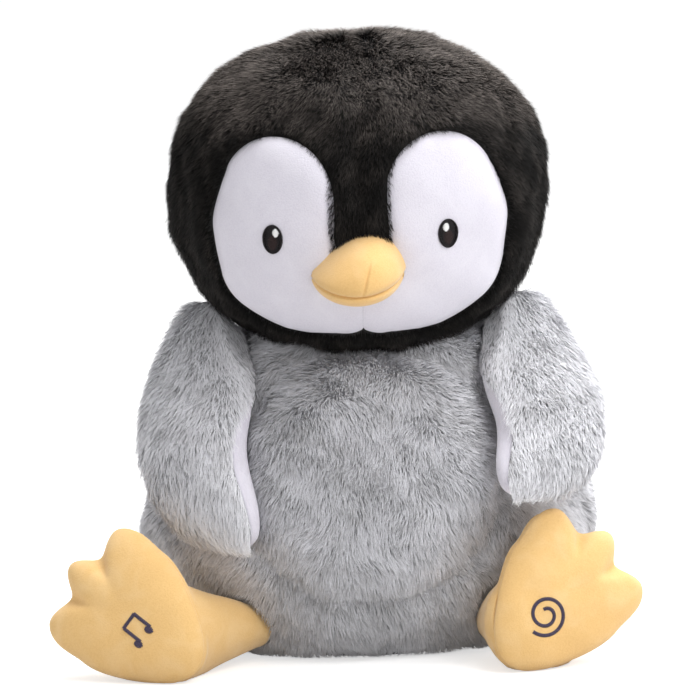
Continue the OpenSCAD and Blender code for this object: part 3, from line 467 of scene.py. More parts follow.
def take(tree, bsdf, group, bump=0.0, distance=0.0003):
    """Feeds a group's colour, roughness and height to the shader."""
    tree.links.new(group.outputs["Color"], bsdf.inputs["Base Color"])
    if "Roughness" in group.outputs:
        tree.links.new(group.outputs["Roughness"], bsdf.inputs["Roughness"])
    if bump:
        relief = add(tree, "Bump", [("Height", group.outputs["Height"])], Strength=bump, Distance=distance)
        tree.links.new(relief.outputs["Normal"], bsdf.inputs["Normal"])


def fur_material(name, root, middle, tip, dark, spread, **shader):
    material, tree, bsdf = new_material(name, **shader)
    place = add(tree, "UVMap", uv_map="OFBake").outputs["UV"]
    take(tree, bsdf, grouped(tree, "pile", place, Root=root, Middle=middle, Tip=tip, Dark_Hair=dark, Spread=spread))
    return material


def velour_material(name, colour, shadow, light, nap=1400.0, bump=0.5, **shader):
    material, tree, bsdf = new_material(name, **shader)
    place = add(tree, "TexCoord").outputs["Object"]
    take(tree, bsdf, grouped(tree, "velour", place, Color=colour, Shadow=shadow, Light=light, Nap=nap), bump, 0.0004)
    return material


def thread_material(name, colour, shine, **shader):
    material, tree, bsdf = new_material(name, Roughness=0.45, Specular_IOR_Level=0.25, **shader)
    place = add(tree, "TexCoord").outputs["Object"]
    take(tree, bsdf, grouped(tree, "thread", place, Color=colour, Shine=shine), 0.4, 0.0002)
    return material


def grain_material(name, colour, worn, grain, rough, bump=0.15, **shader):
    material, tree, bsdf = new_material(name, **shader)
    place = add(tree, "TexCoord").outputs["Object"]
    take(tree, bsdf, grouped(tree, "grain", place, Color=colour, Worn=worn, Grain=grain, Rough=rough), bump, 0.0001)
    return material


FINISH = {
    "grey_pile": fur_material("grey_pile", (0.60, 0.60, 0.62), (0.76, 0.76, 0.795), (0.90, 0.90, 0.94),
                              (0.40, 0.395, 0.40), 0.65, Sheen_Weight=0.2, Sheen_Roughness=0.5, Specular_IOR_Level=0.2),
    # The wings' pile is the body's grey fur in lighter colours: painted light, for the brighter light that falls on the
    # wings.
    "lit_wing_pile": fur_material("lit_wing_pile", (0.74, 0.74, 0.765), (0.88, 0.88, 0.915), (0.97, 0.97, 1.0),
                              (0.52, 0.515, 0.53), 0.6, Sheen_Weight=0.25, Sheen_Roughness=0.5, Specular_IOR_Level=0.2),
    # The black fur's light brownish tip is a painted highlight, the sheen of the light from above: head_coat gives it
    # only to the hairs on top of the head. The dark hair is the fur's own black.
    "black_pile": fur_material("black_pile", (0.003, 0.0026, 0.0022), (0.03, 0.025, 0.022), (0.23, 0.197, 0.178),
                               (0.0022, 0.0019, 0.0017), 0.985, Specular_IOR_Level=0.16),
    "pale_velour": velour_material("pale_velour", (0.70, 0.675, 0.745), (0.58, 0.555, 0.64), (0.77, 0.75, 0.81),
                                   Sheen_Weight=0.35, Sheen_Roughness=0.5, Specular_IOR_Level=0.2),
    "yellow_velour": velour_material("yellow_velour", (0.79, 0.515, 0.215), (0.68, 0.4, 0.14), (0.85, 0.62, 0.33),
                                     Sheen_Weight=0.3, Sheen_Roughness=0.5, Specular_IOR_Level=0.2),
}
VELOURS = {
    # The skin under the grey fur is painted dark like the hair roots: painted shade that shows in the gaps between the
    # hairs.
    "shaded_grey_backing": ((0.38, 0.38, 0.40), (0.28, 0.28, 0.30), (0.46, 0.46, 0.48)),
    "black_backing": ((0.010, 0.009, 0.009), (0.005, 0.005, 0.005), (0.02, 0.018, 0.018)),
    "seat_cloth": ((0.11, 0.115, 0.125), (0.05, 0.05, 0.055), (0.18, 0.18, 0.2), 700.0, 0.8),
    "tape_pile": ((0.03, 0.03, 0.035), (0.012, 0.012, 0.013), (0.07, 0.07, 0.08), 900.0, 1.0),
    "fibre": ((0.86, 0.86, 0.84), (0.68, 0.68, 0.67), (0.93, 0.93, 0.92), 500.0, 1.0),
}
THREADS = {
    "black_thread": ((0.006, 0.005, 0.006), (0.03, 0.024, 0.026)),
    "brown_thread": ((0.016, 0.008, 0.008), (0.06, 0.035, 0.034)),
    "white_thread": ((0.88, 0.88, 0.88), (1.0, 1.0, 1.0)),
    "purple_thread": ((0.045, 0.036, 0.06), (0.16, 0.13, 0.22)),
}
GRAINS = {
    "dark_plastic": ((0.016, 0.016, 0.02), (0.05, 0.05, 0.055), 1200.0, 0.35),
    "light_plastic": ((0.62, 0.6, 0.53), (0.75, 0.73, 0.68), 1500.0, 0.3),
    "red_plastic": ((0.45, 0.02, 0.015), (0.6, 0.06, 0.05), 1500.0, 0.2),
    "cell_jacket": ((0.42, 0.2, 0.04), (0.55, 0.32, 0.1), 1800.0, 0.18),
    "cone_paper": ((0.012, 0.012, 0.012), (0.04, 0.04, 0.04), 500.0, 0.6, 0.5),
    "board_green": ((0.008, 0.085, 0.03), (0.03, 0.16, 0.07), 300.0, 0.25),
    "wire_jacket": ((0.01, 0.01, 0.01), (0.035, 0.035, 0.035), 900.0, 0.45),
}
for name, values in VELOURS.items():
    FINISH[name] = velour_material(name, *values)
for name, values in THREADS.items():
    FINISH[name] = thread_material(name, *values)
for name, values in GRAINS.items():
    FINISH[name] = grain_material(name, *values)
FINISH["steel"] = grain_material("steel", (0.42, 0.42, 0.44), (0.62, 0.62, 0.64), 700.0, 0.22, Metallic=1.0)


# Fur

def vertex_normals(points, faces):
    total = np.zeros_like(points)
    quads = np.array([f for f in faces if len(f) == 4])
    p = points[quads]
    n = np.cross(p[:, 2] - p[:, 0], p[:, 3] - p[:, 1])
    for k in range(4):
        np.add.at(total, quads[:, k], n)
    return unit(total)


def scattered(rng, points, faces, normals, per_mm2):
    """Random places on quads: points and normals, so many to the square millimetre."""
    quads = np.array([f for f in faces if len(f) == 4])
    tris = np.concatenate([quads[:, [0, 1, 2]], quads[:, [0, 2, 3]]])
    p = points[tris]
    area = np.linalg.norm(np.cross(p[:, 1] - p[:, 0], p[:, 2] - p[:, 0]), axis=1) / 2
    count = int(area.sum() / MM ** 2 * per_mm2)
    chosen = tris[rng.choice(len(tris), count, p=area / area.sum())]
    a, b = rng.random((2, count))
    over = a + b > 1
    a, b = np.where(over, 1 - a, a), np.where(over, 1 - b, b)
    w = np.stack([1 - a - b, a, b], 1)[:, :, None]
    return (points[chosen] * w).sum(1), unit((normals[chosen] * w).sum(1))


HAIR_STEPS = np.array([0.0, 0.55, 1.0])
HAIR_WIDTHS = np.array([1.0, 0.8])
TUFT_SIZES = (2.6 * MM, 8 * MM)
TUFT_PULLS = (0.42, 0.2)


class Coat:
    """Hairs rooted on a form: where they stand, which way they lie, how long they are."""

    def __init__(self, seed, roots, normals):
        self.rng = np.random.default_rng(seed)
        self.roots, self.normals = roots, normals
        n = len(roots)
        self.length, self.lean, self.width = np.ones(n), np.full(n, 0.7), np.ones(n)
        self.flow = np.zeros((n, 3))
        self.shade = self.rng.random(n)
        self.pull = self.rng.uniform(0.3, 1.0, n)

    def keep(self, mask):
        for name in ("roots", "normals", "length", "lean", "width", "flow", "shade", "pull"):
            setattr(self, name, getattr(self, name)[mask])

    def lay(self, way, swirl):
        """Lays the hairs along way, turned in the surface by the angle swirl."""
        t = unit(way - self.normals * (way * self.normals).sum(1, keepdims=True))
        across = np.cross(self.normals, t)
        self.flow = t * np.cos(swirl)[:, None] + across * np.sin(swirl)[:, None]

    def tips(self):
        up = (self.length * np.sin(self.lean) * 0.72)[:, None]
        on = (self.length * np.cos(self.lean))[:, None]
        return self.roots + self.normals * up + self.flow * on

    def clumped(self):
        """How far each tip is drawn towards the tips of the fine and the wide tuft that it belongs to."""
        tips = self.tips()
        drawn = np.zeros_like(tips)
        for size, share in zip(TUFT_SIZES, TUFT_PULLS):
            cells = np.unique(np.round(self.roots / size).astype(int), axis=0, return_index=True)[1]
            heads = self.rng.permutation(cells)
            tree = near_tree(self.roots[heads])
            near = np.array([tree.find(p)[1] for p in self.roots])
            drawn += (tips[heads[near]] - tips) * (share * self.pull)[:, None]
        return drawn

    def mesh(self, name, material):
        """One mesh of tapered ribbons, with the map of the pile."""
        n = len(self.roots)
        rng = self.rng
        drawn = self.clumped()
        wild = rng.normal(size=(n, 3)) * 0.07 * self.length[:, None]
        s = HAIR_STEPS[None, :, None]
        up = (self.length * np.sin(self.lean))[:, None, None] * (s - 0.28 * s * s)
        on = (self.length * np.cos(self.lean))[:, None, None] * (0.6 * s + 0.4 * s * s)
        line = self.roots[:, None, :] + self.normals[:, None, :] * up + self.flow[:, None, :] * on
        line = line + (drawn + wild)[:, None, :] * s ** 1.6
        run = unit(np.gradient(line, axis=1))
        twist = rng.uniform(-0.9, 0.9, n)[:, None, None]
        flat = unit(np.cross(run, self.normals[:, None, :]))
        up_side = np.cross(flat, run)
        across = flat * np.cos(twist) + up_side * np.sin(twist)
        half = (self.width[:, None] * HAIR_WIDTHS[None, :] / 2)[:, :, None]
        edges = np.stack([line[:, :2] - across[:, :2] * half, line[:, :2] + across[:, :2] * half], 2)
        points = np.concatenate([edges.reshape(n, 4, 3), line[:, 2:3]], 1)
        points[..., 2] = np.maximum(points[..., 2], FLOOR_GAP)
        facing = unit(self.normals[:, None, :] + 0.2 * unit(np.cross(across, run)))
        sway = 0.2 * across
        tilt = np.stack([facing[:, :2] - sway[:, :2], facing[:, :2] + sway[:, :2]], 2).reshape(n, 4, 3)
        tilt = unit(np.concatenate([tilt, facing[:, 2:3]], 1))
        first = (np.arange(n) * 5)[:, None]
        corner = np.array([0, 1, 3, 2, 2, 3, 4])
        loops = (first + corner[None, :]).ravel()
        sizes = np.tile([4, 3], n)
        up_map = HAIR_STEPS[np.array([0, 0, 1, 1, 2])][corner]
        side_map = np.array([-1, 1, -1, 1, 0])[corner] * 0.004
        map_x = np.clip(self.shade, 0.01, 0.99)[:, None] + side_map[None, :]
        uv = np.stack([map_x, np.broadcast_to(0.02 + 0.96 * up_map, map_x.shape)], -1)
        mesh = bpy.data.meshes.new(name)
        mesh.vertices.add(n * 5)
        mesh.vertices.foreach_set("co", points.astype(np.float32).ravel())
        mesh.loops.add(len(loops))
        mesh.loops.foreach_set("vertex_index", loops.astype(np.int32))
        mesh.polygons.add(len(sizes))
        mesh.polygons.foreach_set("loop_start", np.concatenate([[0], np.cumsum(sizes)[:-1]]).astype(np.int32))
        mesh.uv_layers.new(name="OFBake").data.foreach_set("uv", uv.astype(np.float32).ravel())
        mesh.update(calc_edges=True)
        mesh.polygons.foreach_set("use_smooth", np.ones(len(sizes), bool))
        mesh.normals_split_custom_set_from_vertices(tilt.reshape(-1, 3).astype(np.float32))
        mesh.materials.append(material)
        return placed(name, mesh)

    def part(self, mask):
        other = Coat(0, self.roots, self.normals)
        other.__dict__.update(self.__dict__)
        other.rng = np.random.default_rng(int(mask.sum()))
        other.keep(mask)
        return other


def grown(coat, name, material, body, slot_name, parts=1):
    """Makes a coat's meshes, in a few pieces so that none gets too heavy."""
    order = np.arange(len(coat.roots)) % parts
    for k in range(parts):
        piece = coat.part(order == k).mesh(f"{name}_{k + 1}" if parts > 1 else name, material)
        settle(piece, body, slot_name)


# Body

BELLY_PANEL = (64 * MM, 32 * MM, 152 * MM)


def belly_seam(p):
    """Signed distance from the belly panel's seam, positive inside it, for points on the front."""
    half, low, high = BELLY_PANEL
    middle = (low + high) / 2
    u = np.abs(p[:, 0]) / half
    v = np.abs(p[:, 2] - middle) / (high - low) * 2
    reach = (u ** 2.2 + v ** 2.2) ** (1 / 2.2)
    away = np.where(p[:, 1] < 0, 0, 1)
    return (1 - reach) * half - away * half


def body_relief(p):
    """Height of the body's stuffing over its plain form: seams drawn in, lumps and a soft belly."""
    seam = belly_seam(p)
    dent = -2.4 * MM * np.exp(-(seam / (5 * MM)) ** 2)
    swell = 1.5 * MM * smooth_step(0, 25 * MM, seam)
    back = np.where(p[:, 1] > 0, -2.0 * MM * np.exp(-(p[:, 0] / (4 * MM)) ** 2), 0)
    lumps = 1.1 * MM * ripple(p, 45 * MM, 3) + 0.6 * MM * ripple(p, 20 * MM, 4)
    hips = 4 * MM * np.exp(-((p[:, 2] - 52 * MM) / (16 * MM)) ** 2) * smooth_step(55 * MM, 95 * MM, np.abs(p[:, 0]))
    return dent + swell + back + lumps + hips


BODY_RINGS, BODY_SIDES = 96, 168
seat_low = 1.2 * MM
points = body_form.rings(seat_low, body_form.middle[2] + body_form.up * 0.97, BODY_RINGS, BODY_SIDES)
normals = body_form.normal(points)
points = points + normals * (body_relief(points) - FUR_BASE)[:, None]
points[:, 2] = np.maximum(points[:, 2], seat_low)
body_faces = ring_faces(BODY_RINGS, BODY_SIDES)
settle(new_piece("body", points, body_faces, FINISH["shaded_grey_backing"]),
       "penguin", "grey_fur", "body_skin", fill=0.9)
body_points, body_normals = points, vertex_normals(points, body_faces)


# Head

def patch_distance(x, z):
    """Distance outside the outline of a face patch, negative inside; x is measured from the middle outward."""
    def joined(a, b):
        wx, wz = b[0] - a[0], b[1] - a[1]
        length = math.hypot(wx, wz)
        on = ((x - a[0]) * wx + (z - a[1]) * wz) / length
        off = np.abs((x - a[0]) * wz - (z - a[1]) * wx) / length
        slope = (a[2] - b[2]) / length
        flat = math.sqrt(1 - slope * slope)
        place = flat * on - slope * off
        side = flat * off + slope * on - a[2]
        return np.where(place < 0, np.hypot(on, off) - a[2],
                        np.where(place > flat * length, np.hypot(on - length, off) - b[2], side))
    return np.min([joined(a, b) for a, b in zip(FACE_CHAIN, FACE_CHAIN[1:])], 0)


def face_gap(p):
    """Distance of points on the head from the nearer face patch, far behind the front."""
    d = patch_distance(np.abs(p[:, 0]), p[:, 2] - head_z)
    return np.where(p[:, 1] < head_form.middle[1], d, 1.0)


def head_relief(p):
    """Height of the head's stuffing over its plain form: crown and seam drawn in, lumps, room for the patches."""
    dent = np.array([0, head_form.middle[1] - 34 * MM, head_high[2] - 6 * MM])
    away = np.linalg.norm(p - dent, axis=1)
    crown = -2.5 * MM * np.exp(-(away / (9 * MM)) ** 2)
    seam = np.where(p[:, 2] > head_z, -1.6 * MM * np.exp(-(p[:, 0] / (4 * MM)) ** 2), 0)
    lumps = 0.9 * MM * ripple(p, 50 * MM, 13) + 0.5 * MM * ripple(p, 22 * MM, 14)
    rim = 1.2 * MM * np.exp(-((face_gap(p) - 6 * MM) / (6 * MM)) ** 2)
    tuck = -2.5 * MM * smooth_step(PATCH_GROW, -4 * MM, face_gap(p))
    slope = -2.2 * MM * np.exp(-((p[:, 2] - head_z - 66 * MM) / (11 * MM)) ** 2)
    return np.maximum(crown + seam + lumps + rim + tuck + slope, -3.5 * MM)


HEAD_RINGS, HEAD_SIDES = 96, 168
points = head_form.rings(head_z - HEAD_DOWN * 0.995, head_z + HEAD_UP * 0.9995, HEAD_RINGS, HEAD_SIDES)
normals = head_form.normal(points)
points = points + normals * (head_relief(points) - FUR_BASE)[:, None]
head_faces = ring_faces(HEAD_RINGS, HEAD_SIDES)
settle(new_piece("head", points, head_faces, FINISH["black_backing"]),
       "penguin", "black_fur", "head_skin", fill=0.95)
head_points, head_normals = points, vertex_normals(points, head_faces)


# Face

FACE_RINGS, FACE_TURNS = 28, 192
FACE_MIDDLE = np.array([33 * MM, -28 * MM])


def patch_reach(angles):
    """Distance from the patch's middle to its rounded outline, kept on its own side of the face's middle."""
    low, high = np.zeros(len(angles)), np.full(len(angles), 90 * MM)
    for _ in range(30):
        r = (low + high) / 2
        out = patch_distance(FACE_MIDDLE[0] + r * np.cos(angles), FACE_MIDDLE[1] + r * np.sin(angles)) > PATCH_GROW
        low, high = np.where(out, low, r), np.where(out, r, high)
    for _ in range(FACE_TURNS // 3):
        low = 0.5 * low + 0.25 * (np.roll(low, 1) + np.roll(low, -1))
    inward = np.maximum(-np.cos(angles), 1e-6)
    return np.minimum(low, (FACE_MIDDLE[0] - SEAM / 20) / inward)


def on_face(x, z, lift):
    """Points on the face at x and z, lifted off the head's form by lift."""
    p = np.stack([x, head_form.front(x, z), z], 1)
    return p + head_form.normal(p) * np.asarray(lift).reshape(-1, 1)


def face_lift(x, z):
    """Height of a patch's velour over the head's form."""
    depth = np.clip(PATCH_GROW - patch_distance(np.abs(x), z - head_z), 0, None)
    rise = (1 - np.exp(-depth / (3.2 * MM))) * (1 - 0.1 * np.exp(-(x / (0.9 * MM)) ** 2))
    soft = 0.35 * MM * ripple(np.stack([x, 0 * x, z], 1), 26 * MM, 21)
    return FACE_SWELL * rise - 1.6 * MM * (1 - rise) + soft * rise


def face_piece(side_name):
    side = SIDES[side_name]
    angles = round_steps(FACE_TURNS)
    reach = patch_reach(angles)
    share = np.linspace(0.02, 1, FACE_RINGS)[:, None] ** 0.8
    share[-2] = 0.995
    x = FACE_MIDDLE[0] + share * reach * np.cos(angles)
    z = head_z + FACE_MIDDLE[1] + share * reach * np.sin(angles)
    x, z = x.ravel() * side, z.ravel()
    front = on_face(x, z, face_lift(x, z))
    edge = slice((FACE_RINGS - 1) * FACE_TURNS, None)
    back = on_face(x[edge], z[edge], -3.5 * MM)
    points = np.concatenate([front, back])
    piece = new_piece(f"{side_name}_face_patch", points, ring_faces(FACE_RINGS + 1, FACE_TURNS), FINISH["pale_velour"])
    return settle(piece, "penguin", "pale_velour", f"{side_name}_face", fill=0.8)


# Thread work: stitches as small flattened rods

STITCH_SIDES = 6


def stitches(name, starts, ends, lifts, width, height, material, humps=5):
    """One mesh of satin stitches from starts to ends, arched along lifts."""
    points, faces = [], []
    for a, b, up in zip(starts, ends, lifts):
        run = b - a
        length = np.linalg.norm(run)
        if length < 1e-6:
            continue
        run = run / length
        side = unit(np.cross(run, up))
        first = len(points)
        for k in range(humps):
            t = k / (humps - 1)
            fat = 0.35 + 0.65 * math.sin(math.pi * (0.12 + 0.76 * t)) ** 0.6
            middle = a + (b - a) * t + up * height * 0.9 * math.sin(math.pi * t) ** 0.5
            for j in range(STITCH_SIDES):
                angle = 2 * math.pi * j / STITCH_SIDES
                points.append(middle + fat * (side * math.cos(angle) * width / 2 + up * math.sin(angle) * height / 2))
        faces += [tuple(first + i for i in f) for f in ring_faces(humps, STITCH_SIDES)]
    return new_piece(name, np.array(points), faces, material)


def eye_rows(x0, z0, w, h, lift, step, inset):
    """Ends of the rows of an oval of satin stitch on the face."""
    rows = int(h / step)
    z = z0 + (np.arange(rows) + 0.5 - rows / 2) * step
    half = (w / 2 - inset) * np.sqrt(np.maximum(0, 1 - ((z - z0) / (h / 2)) ** 2))
    rng = np.random.default_rng(int(abs(x0) * 1e5) + rows)
    jitter = rng.uniform(-0.15, 0.15, (2, rows)) * MM
    xa, xb = x0 - half + jitter[0], x0 + half + jitter[1]
    a = on_face(xa, z, face_lift(xa, z) + lift)
    b = on_face(xb, z, face_lift(xb, z) + lift)
    return a, b, head_form.normal((a + b) / 2)


def eye_ring(x0, z0, w, h, lift, count):
    """Ends of short stitches round the edge of the oval."""
    t = round_steps(count)
    ends = []
    for grow in (-0.85 * MM, 0.25 * MM):
        x = x0 + (w / 2 + grow) * np.cos(t + grow * 40)
        z = z0 + (h / 2 + grow) * np.sin(t + grow * 40)
        ends.append(on_face(x, z, face_lift(x, z) + lift))
    return ends[0], ends[1], head_form.normal(ends[0])


def eye_piece(side_name):
    side = SIDES[side_name]
    x0, z0 = side * EYE_X, head_z - EYE_DROP
    fill = stitches(f"{side_name}_eye_fill", *eye_rows(x0, z0, EYE_W, EYE_H, 0.15 * MM, 0.42 * MM, 0.5 * MM),
                    0.5 * MM, 0.55 * MM, FINISH["black_thread"], 9)
    settle(fill, "penguin", "black_thread", f"{side_name}_eye")
    middle = stitches(f"{side_name}_eye_middle", *eye_rows(x0, z0 - 1.6 * MM, EYE_W * 0.55, EYE_H * 0.5, 0.42 * MM,
                      0.42 * MM, 0), 0.5 * MM, 0.5 * MM, FINISH["brown_thread"], 7)
    settle(middle, "penguin", "black_thread")
    edge = stitches(f"{side_name}_eye_edge", *eye_ring(x0, z0, EYE_W, EYE_H, 0.25 * MM, 84), 0.5 * MM, 0.6 * MM,
                    FINISH["black_thread"])
    settle(edge, "penguin", "black_thread")


def glint_piece():
    parts = []
    for side_name, side in SIDES.items():
        x0 = side * EYE_X - 1.1 * MM * side + 0.5 * MM * (side < 0)
        z0 = head_z - EYE_DROP + 3.2 * MM
        parts.append(eye_rows(x0, z0, 3.0 * MM, 4.0 * MM, 0.62 * MM, 0.4 * MM, 0))
    a, b, up = (np.concatenate(c) for c in zip(*parts))
    glints = stitches("eye_glint_stitches", a, b, up, 0.48 * MM, 0.5 * MM, FINISH["white_thread"])
    settle(glints, "penguin", "white_thread", "eye_glints")


# Beak

BEAK_RINGS, BEAK_TURNS = 40, 240


def from_mouth(p):
    """Points from the mouth's own frame, which droops, to the object's frame."""
    c, s = math.cos(BEAK_DROOP), math.sin(BEAK_DROOP)
    return np.stack([p[:, 0], p[:, 1] * c - p[:, 2] * s, p[:, 1] * s + p[:, 2] * c], 1) + mouth


def beak_shell(up):
    """Upper or lower half of the beak, closed along the mouth line."""
    h = BEAK_UP if up else BEAK_DOWN
    a = np.linspace(0, math.pi / 2 * 0.985, BEAK_RINGS)[:, None]
    t = round_steps(BEAK_TURNS)[None, :]
    r = np.cos(a) ** (2 / BEAK_FULL)
    lip = (1 if up else 0.94) - 0.05 * np.exp(-(a / 0.07) ** 2)
    x = BEAK_W / 2 * r * lip * np.cos(t)
    y = BEAK_ROOT + (BEAK_LEN + BEAK_ROOT) * r * lip * np.sin(t)
    z = (h * np.sin(a) ** (2 / BEAK_FULL) + SEAM / 2) * (1 if up else -1) + 0 * t
    p = np.stack([x, y, z], -1).reshape(-1, 3)
    if up:
        front = smooth_step(0, -14 * MM, p[:, 1]) * smooth_step(17 * MM, 11 * MM, p[:, 2])
        groove = 1.0 * MM * np.exp(-((p[:, 0] - 2 * MM) / (0.6 * MM)) ** 2) * front
        p[:, 1] += groove
        p[:, 2] -= 0.4 * groove
    smile = 2.2 * MM * (p[:, 0] / (BEAK_W / 2)) ** 2 * np.exp(-np.abs(p[:, 2]) / (9 * MM))
    top = np.clip(p[:, 2] / BEAK_UP, 0, 1)
    p[:, 0] = p[:, 0] * (1 - BEAK_TAPER * top) + BEAK_SKEW * (top - 0.3)
    p[:, 2] += smile
    return from_mouth(p)


def beak_pieces():
    faces = ring_faces(BEAK_RINGS, BEAK_TURNS)
    points = beak_shell(True)
    points = points + 0.25 * MM * ripple(points, 14 * MM, 31)[:, None] * np.array([0, -1, 0])
    top = new_piece("beak_top", points, faces, FINISH["yellow_velour"])
    settle(top, "penguin", "yellow_velour", "upper_beak", fill=0.9)
    points = beak_shell(False)
    for angle in np.linspace(0, math.radians(joint_named("jaw_open")["range_deg"][1]), 3):
        moved = turned(points, jaw_pin, angle)
        limit = head_form.front(moved[:, 0], moved[:, 2]) - FACE_SWELL - SEAM
        moved[:, 1] = np.minimum(moved[:, 1], limit)
        points = turned(moved, jaw_pin, -angle)
    bottom = new_piece("beak_bottom", points, faces, FINISH["yellow_velour"])
    settle(bottom, "jaw", "yellow_velour", "lower_beak", fill=0.8)


# Wings

WING_STEPS, WING_TURNS, WING_SIDES = 64, 72, 37
WING_SOFT = 3


def clear_of_forms(p):
    """Points moved out of the body and the head, at every angle of a wing's swing."""
    for angle in np.linspace(0, wing_travel, 5):
        p = turned(p, axle, -angle)
        for form in (body_form, head_form):
            p = form.pushed_out(p, SWING_GAP)
        p = turned(p, axle, angle)
    return p


def wing_rings(side_name):
    """Whole rings of a wing from tip to shoulder, softened and kept clear of the body and head."""
    line = np.array(WING_LINE[side_name]) * MM + wing_root
    t = np.linspace(0.994, 0.006, WING_STEPS)
    b = np.stack([(1 - t) ** 3, 3 * t * (1 - t) ** 2, 3 * t * t * (1 - t), t ** 3], 1) @ line
    turn = np.radians(WING_TURN[0] + (WING_TURN[1] - WING_TURN[0]) * t)
    along = np.stack([-np.sin(turn), -np.cos(turn), 0 * t], 1)
    out = np.stack([np.cos(turn), -np.sin(turn), 0 * t], 1)
    swell = np.sin(math.pi * t) ** WING_BLUNT
    broad = WING_W / 2 * swell * (WING_TOP + (1 - WING_TOP) * np.minimum(1, t / WING_FULL))
    deep, place, long = WING_WAIST
    waist = 1 - deep * np.exp(-((t - place) / long) ** 2)
    a = round_steps(WING_TURNS)[None, :]
    across = broad[:, None] * np.cos(a) * np.where(np.cos(a) > 0, waist[:, None], 1)
    thick = WING_T / 2 * swell[:, None] * np.sign(np.sin(a)) * np.abs(np.sin(a)) ** WING_PLUMP
    p = b[:, None] + along[:, None] * across[..., None] + out[:, None] * thick[..., None]
    p = clear_of_forms(p.reshape(-1, 3)).reshape(WING_STEPS, WING_TURNS, 3)
    for _ in range(WING_SOFT):
        p = 0.5 * p + 0.25 * (np.roll(p, 1, 1) + np.roll(p, -1, 1))
        p[1:-1] = 0.5 * p[1:-1] + 0.25 * (p[2:] + p[:-2])
        p = clear_of_forms(p.reshape(-1, 3)).reshape(WING_STEPS, WING_TURNS, 3)
    return p, t


def wing_half(side_name, outside):
    """Rings of the furry outside of a wing, or of its lining, which wraps round the front edge."""
    rings, t = wing_rings(side_name)
    wrap = -WING_TUCK + (WING_WRAP + WING_TUCK) * smooth_step(0.25, 0.5, t)[:, None]
    part = np.linspace(0, 1, WING_SIDES)[None, :]
    place = (wrap + (180 - wrap) * part if outside else 180 + (180 + wrap) * part) / 360 * WING_TURNS
    low = np.floor(place).astype(int)
    share = (place - low)[..., None]
    row = np.arange(WING_STEPS)[:, None]
    p = rings[row, low % WING_TURNS] * (1 - share) + rings[row, (low + 1) % WING_TURNS] * share
    middle = p.mean(1, keepdims=True)
    p = middle + (p - middle) * (1 - SEAM / WING_T)
    return p.reshape(-1, 3) * np.array([SIDES[side_name], 1, 1])


def wing_pieces(side_name):
    faces = ring_faces(WING_STEPS, WING_SIDES)
    lining = new_piece(f"{side_name}_wing_lining_velour", wing_half(side_name, False), faces, FINISH["pale_velour"])
    settle(lining, f"{side_name}_wing", "pale_velour", f"{side_name}_wing_lining", fill=0.8)
    points = wing_half(side_name, True)
    outer = new_piece(f"{side_name}_wing", points, faces, FINISH["shaded_grey_backing"])
    settle(outer, f"{side_name}_wing", "grey_fur", f"{side_name}_wing_fur", fill=0.8)
    return points, faces


# Feet

FOOT_RINGS, FOOT_TURNS = 30, 180


def foot_edge(t):
    """Edge of a foot from its middle, the toes lying round the angle 0."""
    place = np.abs(t)
    place = np.where(place < TOE_PITCH, place, TOE_PITCH + (place - TOE_PITCH) * TOE_SPREAD)
    toes = np.where(place < 1.5 * TOE_PITCH, TOE_LEN * (1 + np.cos(2 * math.pi * place / TOE_PITCH)) / 2, 0)
    l = np.where(np.abs(t) < math.pi / 2, FOOT_L / 2 - TOE_LEN, FOOT_L / 2)
    w = FOOT_W / 2 * (1 + TOE_FLARE * np.cos(t))
    return 1 / np.sqrt((np.cos(t) / l) ** 2 + (np.sin(t) / w) ** 2) + toes


def foot_frame(side_name):
    """Middle of a foot's seam and its own axes: towards the toes, across, and out of the sole."""
    out = -np.array(joint_named(f"{side_name}_foot_press")["axis"])
    low, high = corners(f"{side_name}_foot_button")
    middle = (low + high) / 2 - out * 0.25 * MM
    level = unit(np.cross(out, [0, 0, 1]))
    level = level * np.sign(level[0] * SIDES[side_name])
    up = np.cross(level, out)
    up = up * np.sign(up[2])
    lift = math.radians(TOE_UP[side_name])
    toes = level * math.cos(lift) + up * math.sin(lift)
    across = up * math.cos(lift) - level * math.sin(lift)
    return middle, np.stack([toes, across, out])


def foot_shell(front):
    """Front or back half of a foot in its own frame, closed along the seam."""
    t = np.linspace(-math.pi, math.pi, FOOT_TURNS, endpoint=False)[None, :]
    a = np.linspace(0, math.pi / 2 * 0.98, FOOT_RINGS)[:, None]
    s = np.cos(a) ** FOOT_BLUNT
    r = foot_edge(t) * s
    z = (SOLE_T if front else -INSTEP_T) * np.sin(a) + 0 * t
    gap = np.minimum(np.abs(np.abs(t) - TOE_PITCH / 2), 1) / TOE_PITCH
    crease = np.exp(-(gap / 0.13) ** 2) * smooth_step(FOOT_L / 2 - 23 * MM, FOOT_L / 2 - 9 * MM, r)
    z = z - np.sign(z) * crease * np.minimum(np.abs(z) * 0.55, 4.5 * MM)
    tuck = 1 - 0.035 * np.exp(-(a / 0.09) ** 2)
    return np.stack([r * tuck * np.cos(t), r * tuck * np.sin(t), z + 0 * t], -1).reshape(-1, 3)


def ankle_shell(start, end, r0, r1, rings=40, turns=48):
    """Tapered rounded tube between two points."""
    run = unit(end - start)
    side = unit(np.cross(run, [0, 0, 1]))
    up = np.cross(side, run)
    length = np.linalg.norm(end - start)
    s = np.linspace(-1, 1, rings)
    first, last = (-0.5 - s) * math.pi, (s - 0.5) * math.pi
    place = np.where(s > 0.5, length + r1 * np.sin(last), (s + 0.5) * length)
    place = np.where(s < -0.5, -r0 * np.sin(first), place)
    wide = np.where(s > 0.5, r1 * np.cos(last), r0 + (r1 - r0) * (s + 0.5))
    wide = np.where(s < -0.5, r0 * np.cos(first), wide)
    wide = np.maximum(wide, 0.2 * MM)
    t = round_steps(turns)
    ring = np.cos(t)[:, None] * side + np.sin(t)[:, None] * up
    return (start + place[:, None, None] * run + wide[:, None, None] * ring).reshape(-1, 3), ring_faces(rings, turns)


